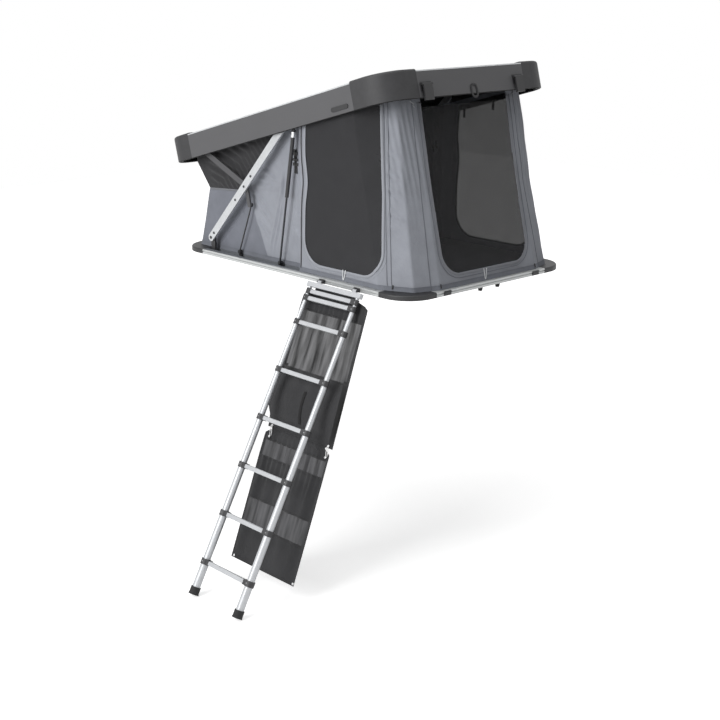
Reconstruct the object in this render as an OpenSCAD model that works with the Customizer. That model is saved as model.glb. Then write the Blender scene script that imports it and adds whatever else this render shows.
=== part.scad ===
// Hard-shell roof top tent, opened to a wedge, with a telescopic ladder and a hanging organiser.
// +X is the foot end, +Y the ladder side, +Z up; the origin is the middle of the base's underside.
// The lid is drawn in its own frame (lower edge at z = 0, centred as when shut) and then raised.

/* [Base] */
// Length of the base and of the lid
base_len = 2126; // [2000:1:2300]
// Width of the base and of the lid
base_w = 1400; // [1300:1:1500]
// Height of the base frame
base_h = 30; // [28:1:36]
// Outer radius of the base corners
base_corner_r = 180; // [150:5:200]
// Length of a base corner piece along the side
base_corner_side = 238; // [210:1:260]
// Length of a base corner piece along the end
base_corner_end = 229; // [210:1:260]
// Wall of the moulded base corners
base_corner_wall = 4; // [3:0.5:6]
// Width of the side rail's outer lip
lip_w = 44; // [40:1:48]
// Width of the gutter that takes the folded linkage
gutter_w = 48; // [46:1:52]
// Thickness of the gutter floor
gutter_floor = 6; // [4:0.5:8]
// Thickness of the gutter's inner wall
gutter_wall = 8; // [6:1:12]
// Width of the end rails
end_rail_w = 60; // [52:1:72]
// Wall of the extruded base rails
rail_wall = 2.5; // [2:0.1:4]
// Height of the slot in the rails' outer face above the underside
slot_z = 14; // [10:0.5:16]
// Height of that slot
slot_h = 5; // [3:0.5:7]
// Depth of that slot
slot_d = 6; // [3:0.5:8]
// Thickness of the floor panel
floor_t = 12; // [8:1:16]
// Thickness of the mattress
mattress_t = 50; // [40:1:70]
// Space round the mattress
mattress_margin = 40; // [30:1:80]
// Corner radius of the mattress
mattress_r = 90; // [60:5:120]

/* [Roof mount] */
// Distance between the two mount channels
channel_gap = 800; // [700:10:900]
// Length of a mount channel
channel_len = 1500; // [1200:10:1700]
// Width of a mount channel
channel_w = 60; // [50:1:70]
// Wall of a mount channel
channel_wall = 3; // [2.5:0.1:4]
// Distance between the bolt holes along a channel
bolt_pitch = 900; // [800:10:1100]
// Diameter of a bolt hole
bolt_d = 8.5; // [6.5:0.1:10.5]
// Height of the rubber bumpers under the head end
bumper_h = 26; // [18:1:34]
// Radius of a bumper
bumper_r = 16; // [12:1:20]
// Distance between the two bumpers
bumper_gap = 150; // [100:5:300]

/* [Lid] */
// Height of the lid
lid_h = 152; // [146:1:165]
// Thickness of the lid's side and end rails
lid_wall = 28; // [26:1:30]
// Wall of the extruded lid rails
lid_rail_wall = 2.4; // [2:0.1:3]
// Outer radius of the lid corners
lid_corner_r = 170; // [150:5:200]
// Length of a lid corner along the side
lid_corner_side = 270; // [250:1:290]
// Length of a lid corner along the end
lid_corner_end = 258; // [240:1:280]
// Wall of the moulded lid corners
lid_corner_wall = 4; // [3:0.5:5]
// Rise of the corners above the lid's top edge
lid_corner_rise = 9; // [6:1:12]
// Width of the corners' top lip
lid_corner_lip = 76; // [60:1:90]
// Height of the bright trim along the top edge
trim_h = 7; // [4:0.5:10]
// Thickness of the lid's top sheet
panel_t = 2; // [1.5:0.5:4]
// Depth of the ribs under the top sheet
rib_h = 10; // [6:1:14]
// Width of those ribs
rib_w = 30; // [20:1:40]
// Number of ribs under the top sheet
rib_count = 4; // [3:1:7]
// Depth of the top panel below the top edge
panel_drop = 5; // [3:0.5:6]
// Thickness of the seal between base and lid
seal_t = 3; // [2:0.5:5]
// Width of the seal
seal_w = 14; // [10:1:18]
// Distance of the two buckles from the lid's sides
latch_in = 315; // [280:5:360]
// Width of a buckle
latch_w = 84; // [70:1:90]
// Length of a buckle's lever
latch_len = 86; // [80:1:92]
// Height of a buckle's hinge above the lid's lower edge
latch_hinge_w = 72; // [68:1:76]
// Distance of a buckle's hinge from the lid's end face
latch_out = 15; // [14:0.5:18]
// Width of the pull loop
loop_w = 62; // [50:1:70]
// Width of the pull loop's webbing
loop_strap = 14; // [10:1:18]
// Length of the pull loop
loop_len = 86; // [70:1:100]
// Length of the pull loop that hangs below the lid's lower edge
loop_drop = 30; // [24:1:40]
// Length of the hand grip recess cover on the lid's sides
grip_len = 120; // [90:1:150]
// Distance of that grip from the head end
grip_from_end = 322; // [318:1:480]
// Height of that grip above the lid's lower edge
grip_w = 34; // [24:1:50]

/* [Lift linkage] */
// Opening angle of the lift arms
arm_open = 46.13; // [43:0.01:48]
// Angle of the lift arms when the lid is shut
arm_shut = 1; // [0.6:0.1:1.4]
// Tilt of the opened lid, foot end low
lid_tilt = 15.11; // [13.5:0.01:16]
// Distance of the lift arm's pivot from the foot end
arm_pivot_in = 288; // [284:1:300]
// Height of the lift arm's pivot
arm_pivot_z = 110; // [106:1:114]
// Length of a lift arm between its pivot and its glide
arm_len = 1200; // [1185:1:1215]
// Width of a lift arm
arm_w = 48; // [40:1:50]
// Thickness of a lift arm
arm_t = 14; // [10:1:15]
// Distance from the arm pivot to the scissor pin
scissor_at = 512.7; // [500:0.1:525]
// Distance of the brace's lid pivot from the foot end
brace_pivot_in = 338; // [332:1:346]
// Height of the brace's lid pivot above the lid's lower edge
brace_pivot_w = 30; // [26:1:34]
// Width of a brace
brace_w = 38; // [30:1:42]
// Thickness of a brace
brace_t = 12; // [8:1:12]
// Length of the brace's short leg
leg_len = 118; // [108:1:120]
// Angle between the brace and its short leg
leg_angle = 125.7; // [122:0.1:130]
// Width of the brace's short leg
leg_w = 28; // [22:1:32]
// Height of the control rod's base pivot
rod_pivot_z = 48; // [44:1:54]
// Diameter of a control rod
rod_d = 10; // [8:0.5:11]
// Distance of the gas strut's base pivot from the foot end
strut_pivot_in = 948; // [938:1:958]
// Height of the gas strut's base pivot
strut_pivot_z = 40; // [36:1:46]
// Distance of the gas strut's upper pivot from the arm's tip
strut_tip_in = 60; // [50:1:70]
// Offset of the gas strut's upper pivot below the arm
strut_drop = 36; // [30:1:40]
// Diameter of a gas strut's tube
strut_tube_d = 24; // [20:0.5:25]
// Wall of a gas strut's tube
strut_tube_wall = 3; // [2:0.1:4]
// Diameter of a gas strut's rod
strut_rod_d = 12; // [9:0.5:14]
// Distance from the strut's upper pivot to its tube
strut_neck = 42; // [34:1:50]
// Radius of the pivot studs
stud_r = 6; // [5:0.1:7]
// Radius of the glide at the tip of a lift arm
glide_r = 14; // [10:1:15]

/* [Tent] */
// Thickness of the tent's cloth
cloth_t = 3; // [2:0.5:4]
// Inset of the tent's sides where the linkage runs
tent_link_in = 96; // [94:0.5:98]
// Inset of the tent's sides round its doors
tent_side_in = 36; // [34:0.5:40]
// Distance of the step between the two from the foot end
tent_step_in = 1171; // [1167:1:1183]
// Inset of the tent at the head end
tent_rear_in = 26; // [22:1:34]
// Lean of the head end wall per metre of height
tent_lean = 221; // [205:1:235]
// Radius of the tent's corners at the head end
tent_corner_r = 250; // [200:5:280]
// Height of the soft crease round the head end
crease_z = 560; // [500:10:640]
// Draw-in of the cloth at that crease
crease_draw = 14; // [4:1:20]
// Inset of the foot end wall at the floor
tent_front_in = 111; // [98:1:133]
// Inset of the foot end wall at its drawn-in fold
fold_in = 197; // [173:1:223]
// Height of that fold
fold_z = 391; // [370:1:410]
// Inset of the foot end wall at the lid
tent_front_top_in = 85; // [63:1:113]
// Draw-in of the side walls at the fold
fold_draw = 12; // [6:1:16]
// Height of the tent's skirt
skirt_h = 56; // [40:1:70]
// Thickness of the skirt
skirt_t = 2; // [1.5:0.1:2.5]
// Distance of the side doors' foot side edge from the step
door_step = 40; // [32:1:62]
// Distance of their head side edge from the head end, at the sill
door_head_in = 258; // [243:1:283]
// Lean of that edge per metre of height
door_lean = 72; // [60:1:80]
// Sill height of the side doors
door_z = 90; // [88:1:120]
// Corner radius of the side doors
door_r = 150; // [100:5:180]
// Distance of the head end window from the base's sides
window_in = 336; // [320:1:370]
// Sill height of the head end window
window_z = 100; // [90:1:130]
// Corner radius of the head end window
window_r = 130; // [100:5:180]
// Height of the cloth inside the lid
cloth_in_lid = 60; // [40:1:64]

/* [Ladder] */
// Distance of the ladder's middle from the head end
ladder_head_in = 563; // [503:5:623]
// Distance between the ladder's stiles
stile_gap = 408; // [380:1:430]
// Lean of the ladder from the vertical
ladder_lean = 28.7; // [22:0.1:34]
// Pitch of the pulled-out rungs
rung_pitch = 299.3; // [285:0.1:315]
// Pitch of the pushed-in rungs
rung_stack = 42; // [40:0.5:46]
// Distance between the last pushed-in rung and the next one
rung_part = 151; // [140:1:160]
// Number of pulled-out rungs below that
rungs_out = 5; // [5:1:5]
// Outer radius of the smallest tube
tube_r0 = 10.6; // [9:0.1:11.5]
// Wall of the ladder tubes
tube_wall = 1.4; // [1.2:0.05:1.6]
// Length by which a pulled-out tube stays in the next one
tube_overlap = 37; // [30:1:44]
// Height of a rung
rung_h = 26; // [22:1:28]
// Depth of a rung
rung_d = 32; // [26:1:36]
// Wall of a rung
rung_wall = 2; // [1.6:0.1:3]
// Height of a collar
collar_h = 34; // [30:1:36]
// Wall of a collar round its tube
collar_wall = 4.5; // [3.5:0.1:6]
// Distance from the lowest rung to the ground
foot_drop = 200; // [192:1:230]
// Height of a rubber foot
foot_h = 46; // [36:1:52]
// Height of the ladder's head bar
head_h = 30; // [26:1:36]
// Thickness of the ladder's head bar
head_d = 26; // [22:1:30]
// Distance of the ladder's hinge pin from the base's side
hinge_out = 16; // [15:0.5:20]
// Height of the ladder's hinge pin
hinge_z = 10; // [8:0.5:14]
// Distance between the two ladder hinges
hinge_gap = 300; // [240:1:320]

/* [Organiser] */
// Width of the hanging organiser's upper panel
org_w = 560; // [480:1:580]
// Width of its lower panel
org_lower_w = 570; // [540:1:590]
// Distance by which the lower panel hangs off the upper one's middle
org_lower_off = 12; // [0:1:20]
// Length of the upper panel
org_upper_len = 885; // [800:5:950]
// Length of its narrow head, between the stiles
org_head = 60; // [40:1:80]
// Width of that head
org_head_w = 360; // [320:1:380]
// Length of the lower panel
org_lower_len = 770; // [700:5:850]
// Thickness of a panel with its pockets
org_t = 6; // [4:0.5:9]
// Lean of the organiser from the ladder, towards the vertical
org_lean = 7.3; // [6.5:0.1:10]
// Distance by which the organiser falls back below the head bar
org_back = 12; // [10:1:18]
// Depth of the hanging folds
org_fold = 7; // [3:0.5:9]
// Number of hanging folds across a panel
org_folds = 5; // [3:1:7]
// Gap between the two panels
org_gap = 40; // [24:1:50]

/* [Clearances] */
// Running clearance of a pin in its bore
slip = 0.06; // [0.03:0.01:0.1]
// Free gap between pieces that move past each other
gap = 0.3; // [0.25:0.05:0.5]
// Gap between the lid's wall and the lift arms
arm_gap = 5; // [4:0.5:6]
// Gap between the layers of the linkage
layer_gap = 3; // [2:0.5:4]
// Play of the glides in their track
glide_play = 6; // [4.5:0.5:7]

/* [Hidden] */
$fn = 48;
half_l = base_len / 2;
half_w = base_w / 2;
big = 4000;
tent_y_front = half_w - tent_link_in;
tent_y_rear = half_w - tent_side_in;
tent_step_x = half_l - tent_step_in;
tent_front_x = half_l - tent_front_in;
fold_x = half_l - fold_in;
tent_front_top_x = half_l - tent_front_top_in;
door_x1 = tent_step_x - door_step;
door_x0 = door_head_in - half_l;
window_y = half_w - window_in;
latch_y = half_w - latch_in;
ladder_x = ladder_head_in - half_l;
strut_pivot_x = half_l - strut_pivot_in;
strut_at = arm_len - strut_tip_in;

// Linkage layers, from the lid's wall inwards
y_wall = half_w - lid_wall;
y_arm = y_wall - arm_gap - arm_t;
y_brace = y_arm - layer_gap - brace_t;
y_rod = y_brace - layer_gap - rod_d;
y_strut = y_arm - layer_gap - strut_tube_d / 2;
y_gutter = half_w - lip_w - gutter_w;

// Linkage pivots in the XZ plane, shut (0) and opened (1)
function arm_dir(t) = [-cos(t), sin(t)];
function arm_low(t) = [-sin(t), -cos(t)];
function ray(t) = [cos(t), sin(t)];
function bearing(v) = (atan2(v.y, v.x) + 360) % 360;
lid_z = base_h + seal_t;
piv_a = [half_l - arm_pivot_in, arm_pivot_z];
piv_d0 = piv_a + scissor_at * arm_dir(arm_shut);
piv_d1 = piv_a + scissor_at * arm_dir(arm_open);
piv_b1 = piv_a + arm_len * arm_dir(arm_open);
piv_c0 = [half_l - brace_pivot_in, lid_z + brace_pivot_w];
brace_len = norm(piv_c0 - piv_d0);
psi0 = atan2(piv_c0.y - piv_d0.y, piv_c0.x - piv_d0.x);
track_w = arm_pivot_z + arm_len * sin(arm_shut) - lid_z;
lid_u = [cos(lid_tilt), -sin(lid_tilt)];
lid_n = [sin(lid_tilt), cos(lid_tilt)];
rise = (piv_b1 - piv_d1) * lid_n - track_w + brace_pivot_w;
psi1 = asin(rise / brace_len) - lid_tilt;
piv_c1 = piv_d1 + brace_len * ray(psi1);
piv_e0 = piv_d0 + leg_len * ray(psi0 - leg_angle);
piv_e1 = piv_d1 + leg_len * ray(psi1 - leg_angle);
rod_dx = (piv_e1.x ^ 2 - piv_e0.x ^ 2) + (piv_e1.y - rod_pivot_z) ^ 2 - (piv_e0.y - rod_pivot_z) ^ 2;
piv_f = [rod_dx / 2 / (piv_e1.x - piv_e0.x), rod_pivot_z];
rod_len = norm(piv_e1 - piv_f);
piv_g = [strut_pivot_x, strut_pivot_z];
piv_h0 = piv_a + strut_at * arm_dir(arm_shut) + strut_drop * arm_low(arm_shut);
piv_h1 = piv_a + strut_at * arm_dir(arm_open) + strut_drop * arm_low(arm_open);
strut_shut = norm(piv_h0 - piv_g);
strut_open = norm(piv_h1 - piv_g);
eye_r = stud_r + 7;
strut_foot = 2 * eye_r;
strut_tube_len = strut_shut - strut_neck - strut_foot;
strut_rod_len = strut_shut - strut_neck - strut_tube_wall - 2 * gap;

// Ladder: distance of each rung from the head bar, and the tube radii
rung_count = 3 + rungs_out;
function rung_at(k) = k < 3 ? k * rung_stack : 2 * rung_stack + rung_part + (k - 3) * rung_pitch;
function tube_r(k) = tube_r0 + k * (tube_wall + gap);
tube_in_collar = 12;
tube_len = rung_pitch + tube_overlap;
head_drop = hinge_out + hinge_z + 2;
head_out = 12.4;

// Frames of the moving groups at rest
module lid_frame() {
    translate([piv_c1.x, 0, piv_c1.y])
        rotate([0, lid_tilt, 0])
            translate([-piv_c0.x, 0, -brace_pivot_w])
                children();
}
module arm_frame() {
    translate([piv_a.x, 0, piv_a.y])
        rotate([0, arm_open, 0])
            children();
}
module brace_frame() {
    translate([piv_d1.x, 0, piv_d1.y])
        rotate([0, -psi1, 0])
            children();
}
module aimed(p, t) {
    translate([p.x, 0, p.y])
        rotate([0, 90 - t, 0])
            children();
}
module ladder_frame() {
    translate([ladder_x, half_w + hinge_out, hinge_z])
        rotate([ladder_lean, 0, 0])
            children();
}

// Shapes that repeat
module both_sides() {
    children();
    mirror([0, 1, 0]) children();
}
module four_corners() {
    for (mx = [0, 1], my = [0, 1])
        mirror([mx, 0, 0])
            mirror([0, my, 0])
                children();
}
module along_x(len) {
    rotate([90, 0, 90])
        linear_extrude(len, center = true)
            children();
}
module along_y(len) {
    rotate([90, 0, 0])
        linear_extrude(len, center = true)
            children();
}
// A flat plate in the XZ plane from y0 outwards
module plate(y0, t) {
    translate([0, y0 + t, 0])
        rotate([90, 0, 0])
            linear_extrude(t)
                children();
}
module peg(x, z, y0, y1, r) {
    translate([x, y0, z])
        rotate([-90, 0, 0])
            cylinder(h = y1 - y0, r = r);
}
module bar2d(p, q, w) {
    d = q - p;
    translate(p)
        rotate(atan2(d.y, d.x))
            translate([0, -w / 2])
                square([norm(d), w]);
    translate(p) circle(d = w);
    translate(q) circle(d = w);
}
module round_rect(x, y, r) {
    square([x - 2 * r, y], center = true);
    square([x, y - 2 * r], center = true);
    for (sx = [-1, 1], sy = [-1, 1])
        translate([sx * (x / 2 - r), sy * (y / 2 - r)])
            circle(r);
}
// One corner piece at +X +Y from a profile drawn inwards from x = 0
module corner(r, side, end) {
    translate([half_l - r, half_w - r, 0])
        rotate_extrude(angle = 90)
            translate([r, 0])
                children();
    translate([half_l - (side + r) / 2, half_w, 0])
        along_x(side - r)
            children();
    translate([half_l, half_w - (end + r) / 2, 0])
        along_y(end - r)
            children();
}

// Base profiles, drawn inwards from the outer face
module slotted_face(w) {
    polygon([[0, 0], [0, slot_z], [-slot_d, slot_z], [-slot_d, slot_z + slot_h], [0, slot_z + slot_h],
        [0, base_h], [-w, base_h], [-w, 0]]);
}
module chamber(w) {
    translate([-w + rail_wall, rail_wall])
        square([w - slot_d - 2 * rail_wall, base_h - 2 * rail_wall]);
}
module side_profile() {
    difference() {
        union() {
            slotted_face(lip_w);
            translate([-lip_w - gutter_w - gutter_wall, 0])
                square([gutter_w + gutter_wall + 1, gutter_floor]);
            translate([-lip_w - gutter_w - gutter_wall, 0])
                square([gutter_wall, base_h]);
        }
        chamber(lip_w);
    }
}
module end_profile() {
    difference() {
        slotted_face(end_rail_w);
        chamber(end_rail_w);
    }
}
module base_corner_profile() {
    w = base_corner_wall;
    in = lip_w + gutter_w + gutter_wall;
    polygon([[0, 0], [0, base_h - 2 * w], [-w / 3, base_h - w], [-w, base_h - w / 3], [-2 * w, base_h],
        [-in, base_h], [-in, base_h - w], [-lip_w, base_h - w], [-lip_w, 0], [w - lip_w, 0],
        [w - lip_w, base_h - w], [-2 * w, base_h - w], [-w, base_h - 2 * w], [-w, 0]]);
}

module base_rails() {
    color("silver") {
        both_sides()
            translate([0, half_w, 0])
                along_x(base_len - 2 * base_corner_side)
                    side_profile();
        for (m = [0, 1])
            mirror([m, 0, 0])
                translate([half_l, 0, 0])
                    along_y(base_w - 2 * base_corner_end)
                        end_profile();
    }
}
module base_corners() {
    color("black")
        four_corners()
            difference() {
                corner(base_corner_r, base_corner_side, base_corner_end)
                    base_corner_profile();
                translate([0, 0, base_h - floor_t])
                    linear_extrude(2 * floor_t)
                        floor_outline(gap);
            }
}
module floor_outline(grow) {
    y = y_gutter - gutter_wall + grow;
    round_rect(base_len - 2 * (end_rail_w - grow), 2 * y, base_corner_r - lip_w + grow);
}
module floor_panel() {
    color("dimgray")
        translate([0, 0, base_h - floor_t])
            linear_extrude(floor_t)
                floor_outline(0);
}
module mount_channels() {
    h = base_h - floor_t;
    w = channel_w / 2;
    color("silver")
        for (s = [-1, 1])
            translate([0, s * channel_gap / 2, 0])
                difference() {
                    along_x(channel_len)
                        polygon([[-w, 0], [w, 0], [w, h], [w - channel_wall, h],
                            [w - channel_wall, channel_wall], [channel_wall - w, channel_wall],
                            [channel_wall - w, h], [-w, h]]);
                    for (t = [-1, 1])
                        translate([t * bolt_pitch / 2, 0, -1])
                            cylinder(h = channel_wall + 2, d = bolt_d);
                }
}
module bumpers() {
    color("black")
        for (s = [-1, 1])
            translate([end_rail_w / 2 - half_l, s * bumper_gap / 2, -bumper_h])
                cylinder(h = bumper_h, r1 = bumper_r - 4, r2 = bumper_r);
}
module mattress() {
    m = mattress_margin;
    color("lightslategray")
        translate([(tent_front_x + tent_rear_in - half_l) / 2, 0, base_h])
            linear_extrude(mattress_t)
                round_rect(tent_front_x - tent_rear_in + half_l - 2 * m - 60, 2 * (tent_y_front - m), mattress_r);
}

// Brackets in the gutter: an upright with a foot and a headed stud
module gutter_bracket(p, w, y0, t, y_end) {
    plate(y0, t) {
        translate([p.x - w / 2, gutter_floor]) square([w, p.y - gutter_floor]);
        translate(p) circle(d = w);
    }
    translate([p.x - w, y_gutter + 1, gutter_floor])
        cube([2 * w, y0 + t - y_gutter - 1, 5]);
    peg(p.x, p.y, y0, y_end, stud_r);
    peg(p.x, p.y, y_end, y_end + 2, stud_r + 4);
}
module base_brackets() {
    rod_y = y_rod - gap - 8;
    strut_y = y_strut - strut_rod_d / 2 - 1 - gap - 8;
    color("black")
        both_sides() {
            gutter_bracket(piv_a, 40, y_brace, brace_t, y_arm + arm_t + gap);
            gutter_bracket(piv_f, 26, rod_y, 8, y_rod + rod_d + gap);
            gutter_bracket(piv_g, 26, strut_y, 8, y_strut + strut_rod_d / 2 + 1 + gap);
        }
}

// Lid profiles, drawn inwards from the outer face
module lid_side_profile() {
    w = lid_wall;
    t = lid_rail_wall;
    h = lid_h - trim_h;
    g = glide_r + glide_play;
    floor_x = glide_r - w + 2;
    difference() {
        polygon([[0, 0], [0, h], [-w, h], [-w, 0]]);
        translate([-w - 1, track_w - g]) square([floor_x + w + 1, 2 * g]);
        translate([t - w, t]) square([w - 2 * t, track_w - g - 2 * t]);
        translate([t - w, track_w + g + t]) square([w - 2 * t, h - track_w - g - 2 * t]);
        translate([floor_x + t, track_w - g]) square([-floor_x - 2 * t, 2 * g]);
    }
}
module lid_end_profile() {
    w = lid_wall;
    t = lid_rail_wall;
    h = lid_h - trim_h;
    difference() {
        translate([-w, 0]) square([w, h]);
        translate([t - w, t]) square([w - 2 * t, h / 2 - 1.5 * t]);
        translate([t - w, h / 2 + t / 2]) square([w - 2 * t, h / 2 - 1.5 * t]);
    }
}
module lid_corner_profile() {
    t = lid_corner_wall;
    h = lid_h + lid_corner_rise;
    polygon([[0, 0], [0, h - 14], [-1.5, h - 8], [-5, h - 3], [-11, h], [-lid_corner_lip, h],
        [-lid_corner_lip, h - t], [-11, h - t], [-t - 3, h - t - 2], [-t, h - 14], [-t, t],
        [-lid_wall, t], [-lid_wall, 0]]);
}
module lid_rails() {
    color("dimgray")
        lid_frame() {
            both_sides()
                translate([0, half_w, 0])
                    along_x(base_len - 2 * lid_corner_side)
                        lid_side_profile();
            for (m = [0, 1])
                mirror([m, 0, 0])
                    translate([half_l, 0, 0])
                        along_y(base_w - 2 * lid_corner_end)
                            lid_end_profile();
        }
}
module lid_corners() {
    color("darkslategray")
        lid_frame()
            four_corners()
                corner(lid_corner_r, lid_corner_side, lid_corner_end)
                    lid_corner_profile();
}
module lid_panel() {
    color("gray")
        lid_frame()
            translate([0, 0, lid_h - panel_drop - panel_t]) {
                linear_extrude(panel_t)
                    round_rect(base_len - 2 * lid_wall, base_w - 2 * lid_wall, lid_corner_r - lid_wall);
                for (i = [1 : rib_count])
                    translate([base_len * (i / (rib_count + 1) - 0.5) - rib_w / 2, lid_wall - half_w, -rib_h])
                        cube([rib_w, base_w - 2 * lid_wall, rib_h + panel_t / 2]);
            }
}
module lid_trim() {
    color("gainsboro")
        lid_frame()
            translate([0, 0, lid_h - trim_h]) {
                for (s = [-1, 1]) {
                    translate([lid_corner_side - half_l, s * (half_w - lid_wall / 2) - lid_wall / 2, 0])
                        cube([base_len - 2 * lid_corner_side, lid_wall, trim_h]);
                    translate([s * (half_l - lid_wall / 2) - lid_wall / 2, lid_corner_end - half_w, 0])
                        cube([lid_wall, base_w - 2 * lid_corner_end, trim_h]);
                }
            }
}
module lid_seal() {
    in = (lid_wall - seal_w) / 2;
    out = in + seal_w;
    color("black")
        lid_frame()
            translate([0, 0, gap - seal_t])
                linear_extrude(seal_t - gap)
                    difference() {
                        round_rect(base_len - 2 * in, base_w - 2 * in, lid_corner_r - in);
                        round_rect(base_len - 2 * out, base_w - 2 * out, lid_corner_r - out);
                    }
}
// Brace pivots on the lid: a hanger under the top sheet with a headed stud through the brace
module lid_brackets() {
    x = piv_c0.x;
    w = brace_pivot_w;
    top = lid_h - panel_drop - panel_t;
    r = 0.42 * brace_w;
    t = 8;
    y0 = y_brace - gap - t;
    color("black")
        lid_frame()
            both_sides() {
                plate(y0, t) {
                    translate([x, w]) circle(r);
                    polygon([[x - r, w], [x + r, w], [x + 2 * r, top], [x - 2 * r, top]]);
                }
                translate([x - 2.6 * r, y0, top - t / 2]) cube([5.2 * r, y_wall - y0, t / 2]);
                peg(x, w, y_brace - gap - 1, y_brace + brace_t + gap, stud_r);
                peg(x, w, y_brace + brace_t + gap, y_brace + brace_t + gap + 2, stud_r + 4);
            }
}
module lid_grips() {
    color("black")
        lid_frame()
            both_sides()
                plate(half_w, 4)
                    bar2d([grip_from_end - half_l, grip_w], [grip_from_end + grip_len - half_l, grip_w], 26);
}
module pull_loop() {
    color("black")
        lid_frame()
            translate([-half_l, 0, loop_len / 2 - loop_drop]) {
                translate([-4, 0, 0])
                    rotate([90, 0, 90])
                        linear_extrude(3)
                            difference() {
                                round_rect(loop_w, loop_len, loop_w / 2 - 1);
                                round_rect(loop_w - 2 * loop_strap, loop_len - 2 * loop_strap,
                                    loop_w / 2 - loop_strap - 1);
                            }
                translate([-2, -loop_strap, loop_len / 2 - loop_strap])
                    cube([2, 2 * loop_strap, loop_strap - 4]);
            }
}

// Head end buckles: a plate with hinge ears on the lid, a hooked lever, and a keeper on the base
latch_x = -half_l - latch_out;
latch_pin_r = 3.5;
latch_t = 11;
keeper_t = 4;
hook_w = latch_hinge_w - latch_len + 2;
module latch_plates() {
    ear = 8;
    color("black")
        lid_frame()
            for (s = [-1, 1])
                translate([0, s * latch_y, 0]) {
                    translate([-half_l - 4, -latch_w / 2, latch_hinge_w - 0.46 * latch_len])
                        cube([4, latch_w, 0.62 * latch_len]);
                    for (e = [-1, 1])
                        translate([0, e * (latch_w - ear) / 2 - ear / 2, 0])
                            plate(0, ear)
                                bar2d([-half_l - 6, latch_hinge_w], [latch_x, latch_hinge_w], 12);
                    peg(latch_x, latch_hinge_w, ear - latch_w / 2, latch_w / 2 - ear, latch_pin_r);
                }
}
module latch_lever(s) {
    w = latch_w - 16 - 2 * gap;
    color("black")
        lid_frame()
            translate([0, s * latch_y - w / 2, 0])
                difference() {
                    plate(0, w) {
                        bar2d([latch_x, latch_hinge_w], [latch_x, latch_hinge_w - latch_len], latch_t);
                        translate([latch_x, hook_w - 7])
                            square([latch_out - keeper_t - 2 * gap, 7]);
                    }
                    peg(latch_x, latch_hinge_w, -1, w + 1, latch_pin_r + slip);
                }
}
module latch_left() {
    latch_lever(1);
}
module latch_right() {
    latch_lever(-1);
}
module latch_keepers() {
    lip = latch_out - latch_t / 2 - gap;
    z = lid_z + hook_w + gap;
    color("black")
        for (s = [-1, 1])
            translate([-half_l, s * latch_y, 0]) {
                translate([-keeper_t, -latch_w / 3, 2]) cube([keeper_t, latch_w * 2 / 3, base_h - 4]);
                translate([-lip, -latch_w / 3, z]) cube([lip, latch_w * 2 / 3, 4]);
            }
}

// Lift linkage
module lift_arms() {
    color("silver")
        arm_frame()
            both_sides()
                difference() {
                    union() {
                        plate(y_arm, arm_t) {
                            bar2d([0, 0], [-arm_len, 0], arm_w);
                            bar2d([-strut_at, 0], [-strut_at, -strut_drop], 32);
                        }
                        peg(-scissor_at, 0, y_brace - gap, y_arm + 1, stud_r);
                        peg(-scissor_at, 0, y_brace - gap - 2, y_brace - gap, stud_r + 4);
                    }
                    peg(0, 0, y_arm - 1, y_arm + arm_t + 1, stud_r + slip);
                }
}
module arm_rivets() {
    color("slategray")
        arm_frame()
            both_sides()
                for (at = [arm_w, scissor_at - 2.7 * arm_w, scissor_at, scissor_at + 2.1 * arm_w])
                    peg(-at, 0, y_arm + arm_t, y_arm + arm_t + arm_gap / 2, arm_w / 6);
}
module arm_glides() {
    y_end = y_wall + glide_r;
    color("black")
        arm_frame()
            both_sides()
                peg(-arm_len, 0, y_arm + arm_t, y_end, glide_r);
}
module braces() {
    e = leg_len * ray(-leg_angle);
    color("dimgray")
        brace_frame()
            both_sides()
                difference() {
                    plate(y_brace, brace_t) {
                        bar2d([0, 0], [brace_len, 0], brace_w);
                        bar2d([0, 0], e, leg_w);
                    }
                    peg(0, 0, y_brace - 1, y_brace + brace_t + 1, stud_r + slip);
                    peg(brace_len, 0, y_brace - 1, y_brace + brace_t + 1, stud_r + slip);
                }
}
module control_rods() {
    yc = y_rod + rod_d / 2;
    color("black")
        aimed(piv_f, bearing(piv_e1 - piv_f))
            both_sides()
                difference() {
                    union() {
                        peg(0, 0, y_rod, y_rod + rod_d, eye_r);
                        peg(0, rod_len, y_rod, y_brace - gap, eye_r);
                        translate([0, yc, stud_r + 3])
                            cylinder(h = rod_len - stud_r - 3, d = rod_d - 1);
                    }
                    peg(0, 0, y_rod - 1, y_rod + rod_d + 1, stud_r + slip);
                }
}
module strut_rods() {
    r = strut_rod_d / 2;
    color("darkgray")
        aimed(piv_g, bearing(piv_h1 - piv_g))
            both_sides()
                difference() {
                    union() {
                        peg(0, 0, y_strut - r - 1, y_strut + r + 1, eye_r);
                        translate([0, y_strut, stud_r + 3])
                            cylinder(h = strut_rod_len - stud_r - 3, r = r);
                    }
                    peg(0, 0, y_strut - r - 2, y_strut + r + 2, stud_r + slip);
                }
}
module strut_tubes() {
    z0 = strut_open - strut_neck - strut_tube_len;
    bore = strut_rod_d / 2 + gap;
    color("black")
        aimed(piv_g, bearing(piv_h1 - piv_g))
            both_sides()
                difference() {
                    union() {
                        translate([0, y_strut, z0]) cylinder(h = strut_tube_len, d = strut_tube_d);
                        translate([0, y_strut, z0 + strut_tube_len - 1])
                            cylinder(h = strut_neck - eye_r / 2, r = 7);
                        peg(0, strut_open, y_strut - 9, y_arm - gap, eye_r);
                    }
                    translate([0, y_strut, z0 - 1])
                        cylinder(h = strut_tube_len + 1 - strut_tube_wall, r = bore);
                }
}

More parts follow.
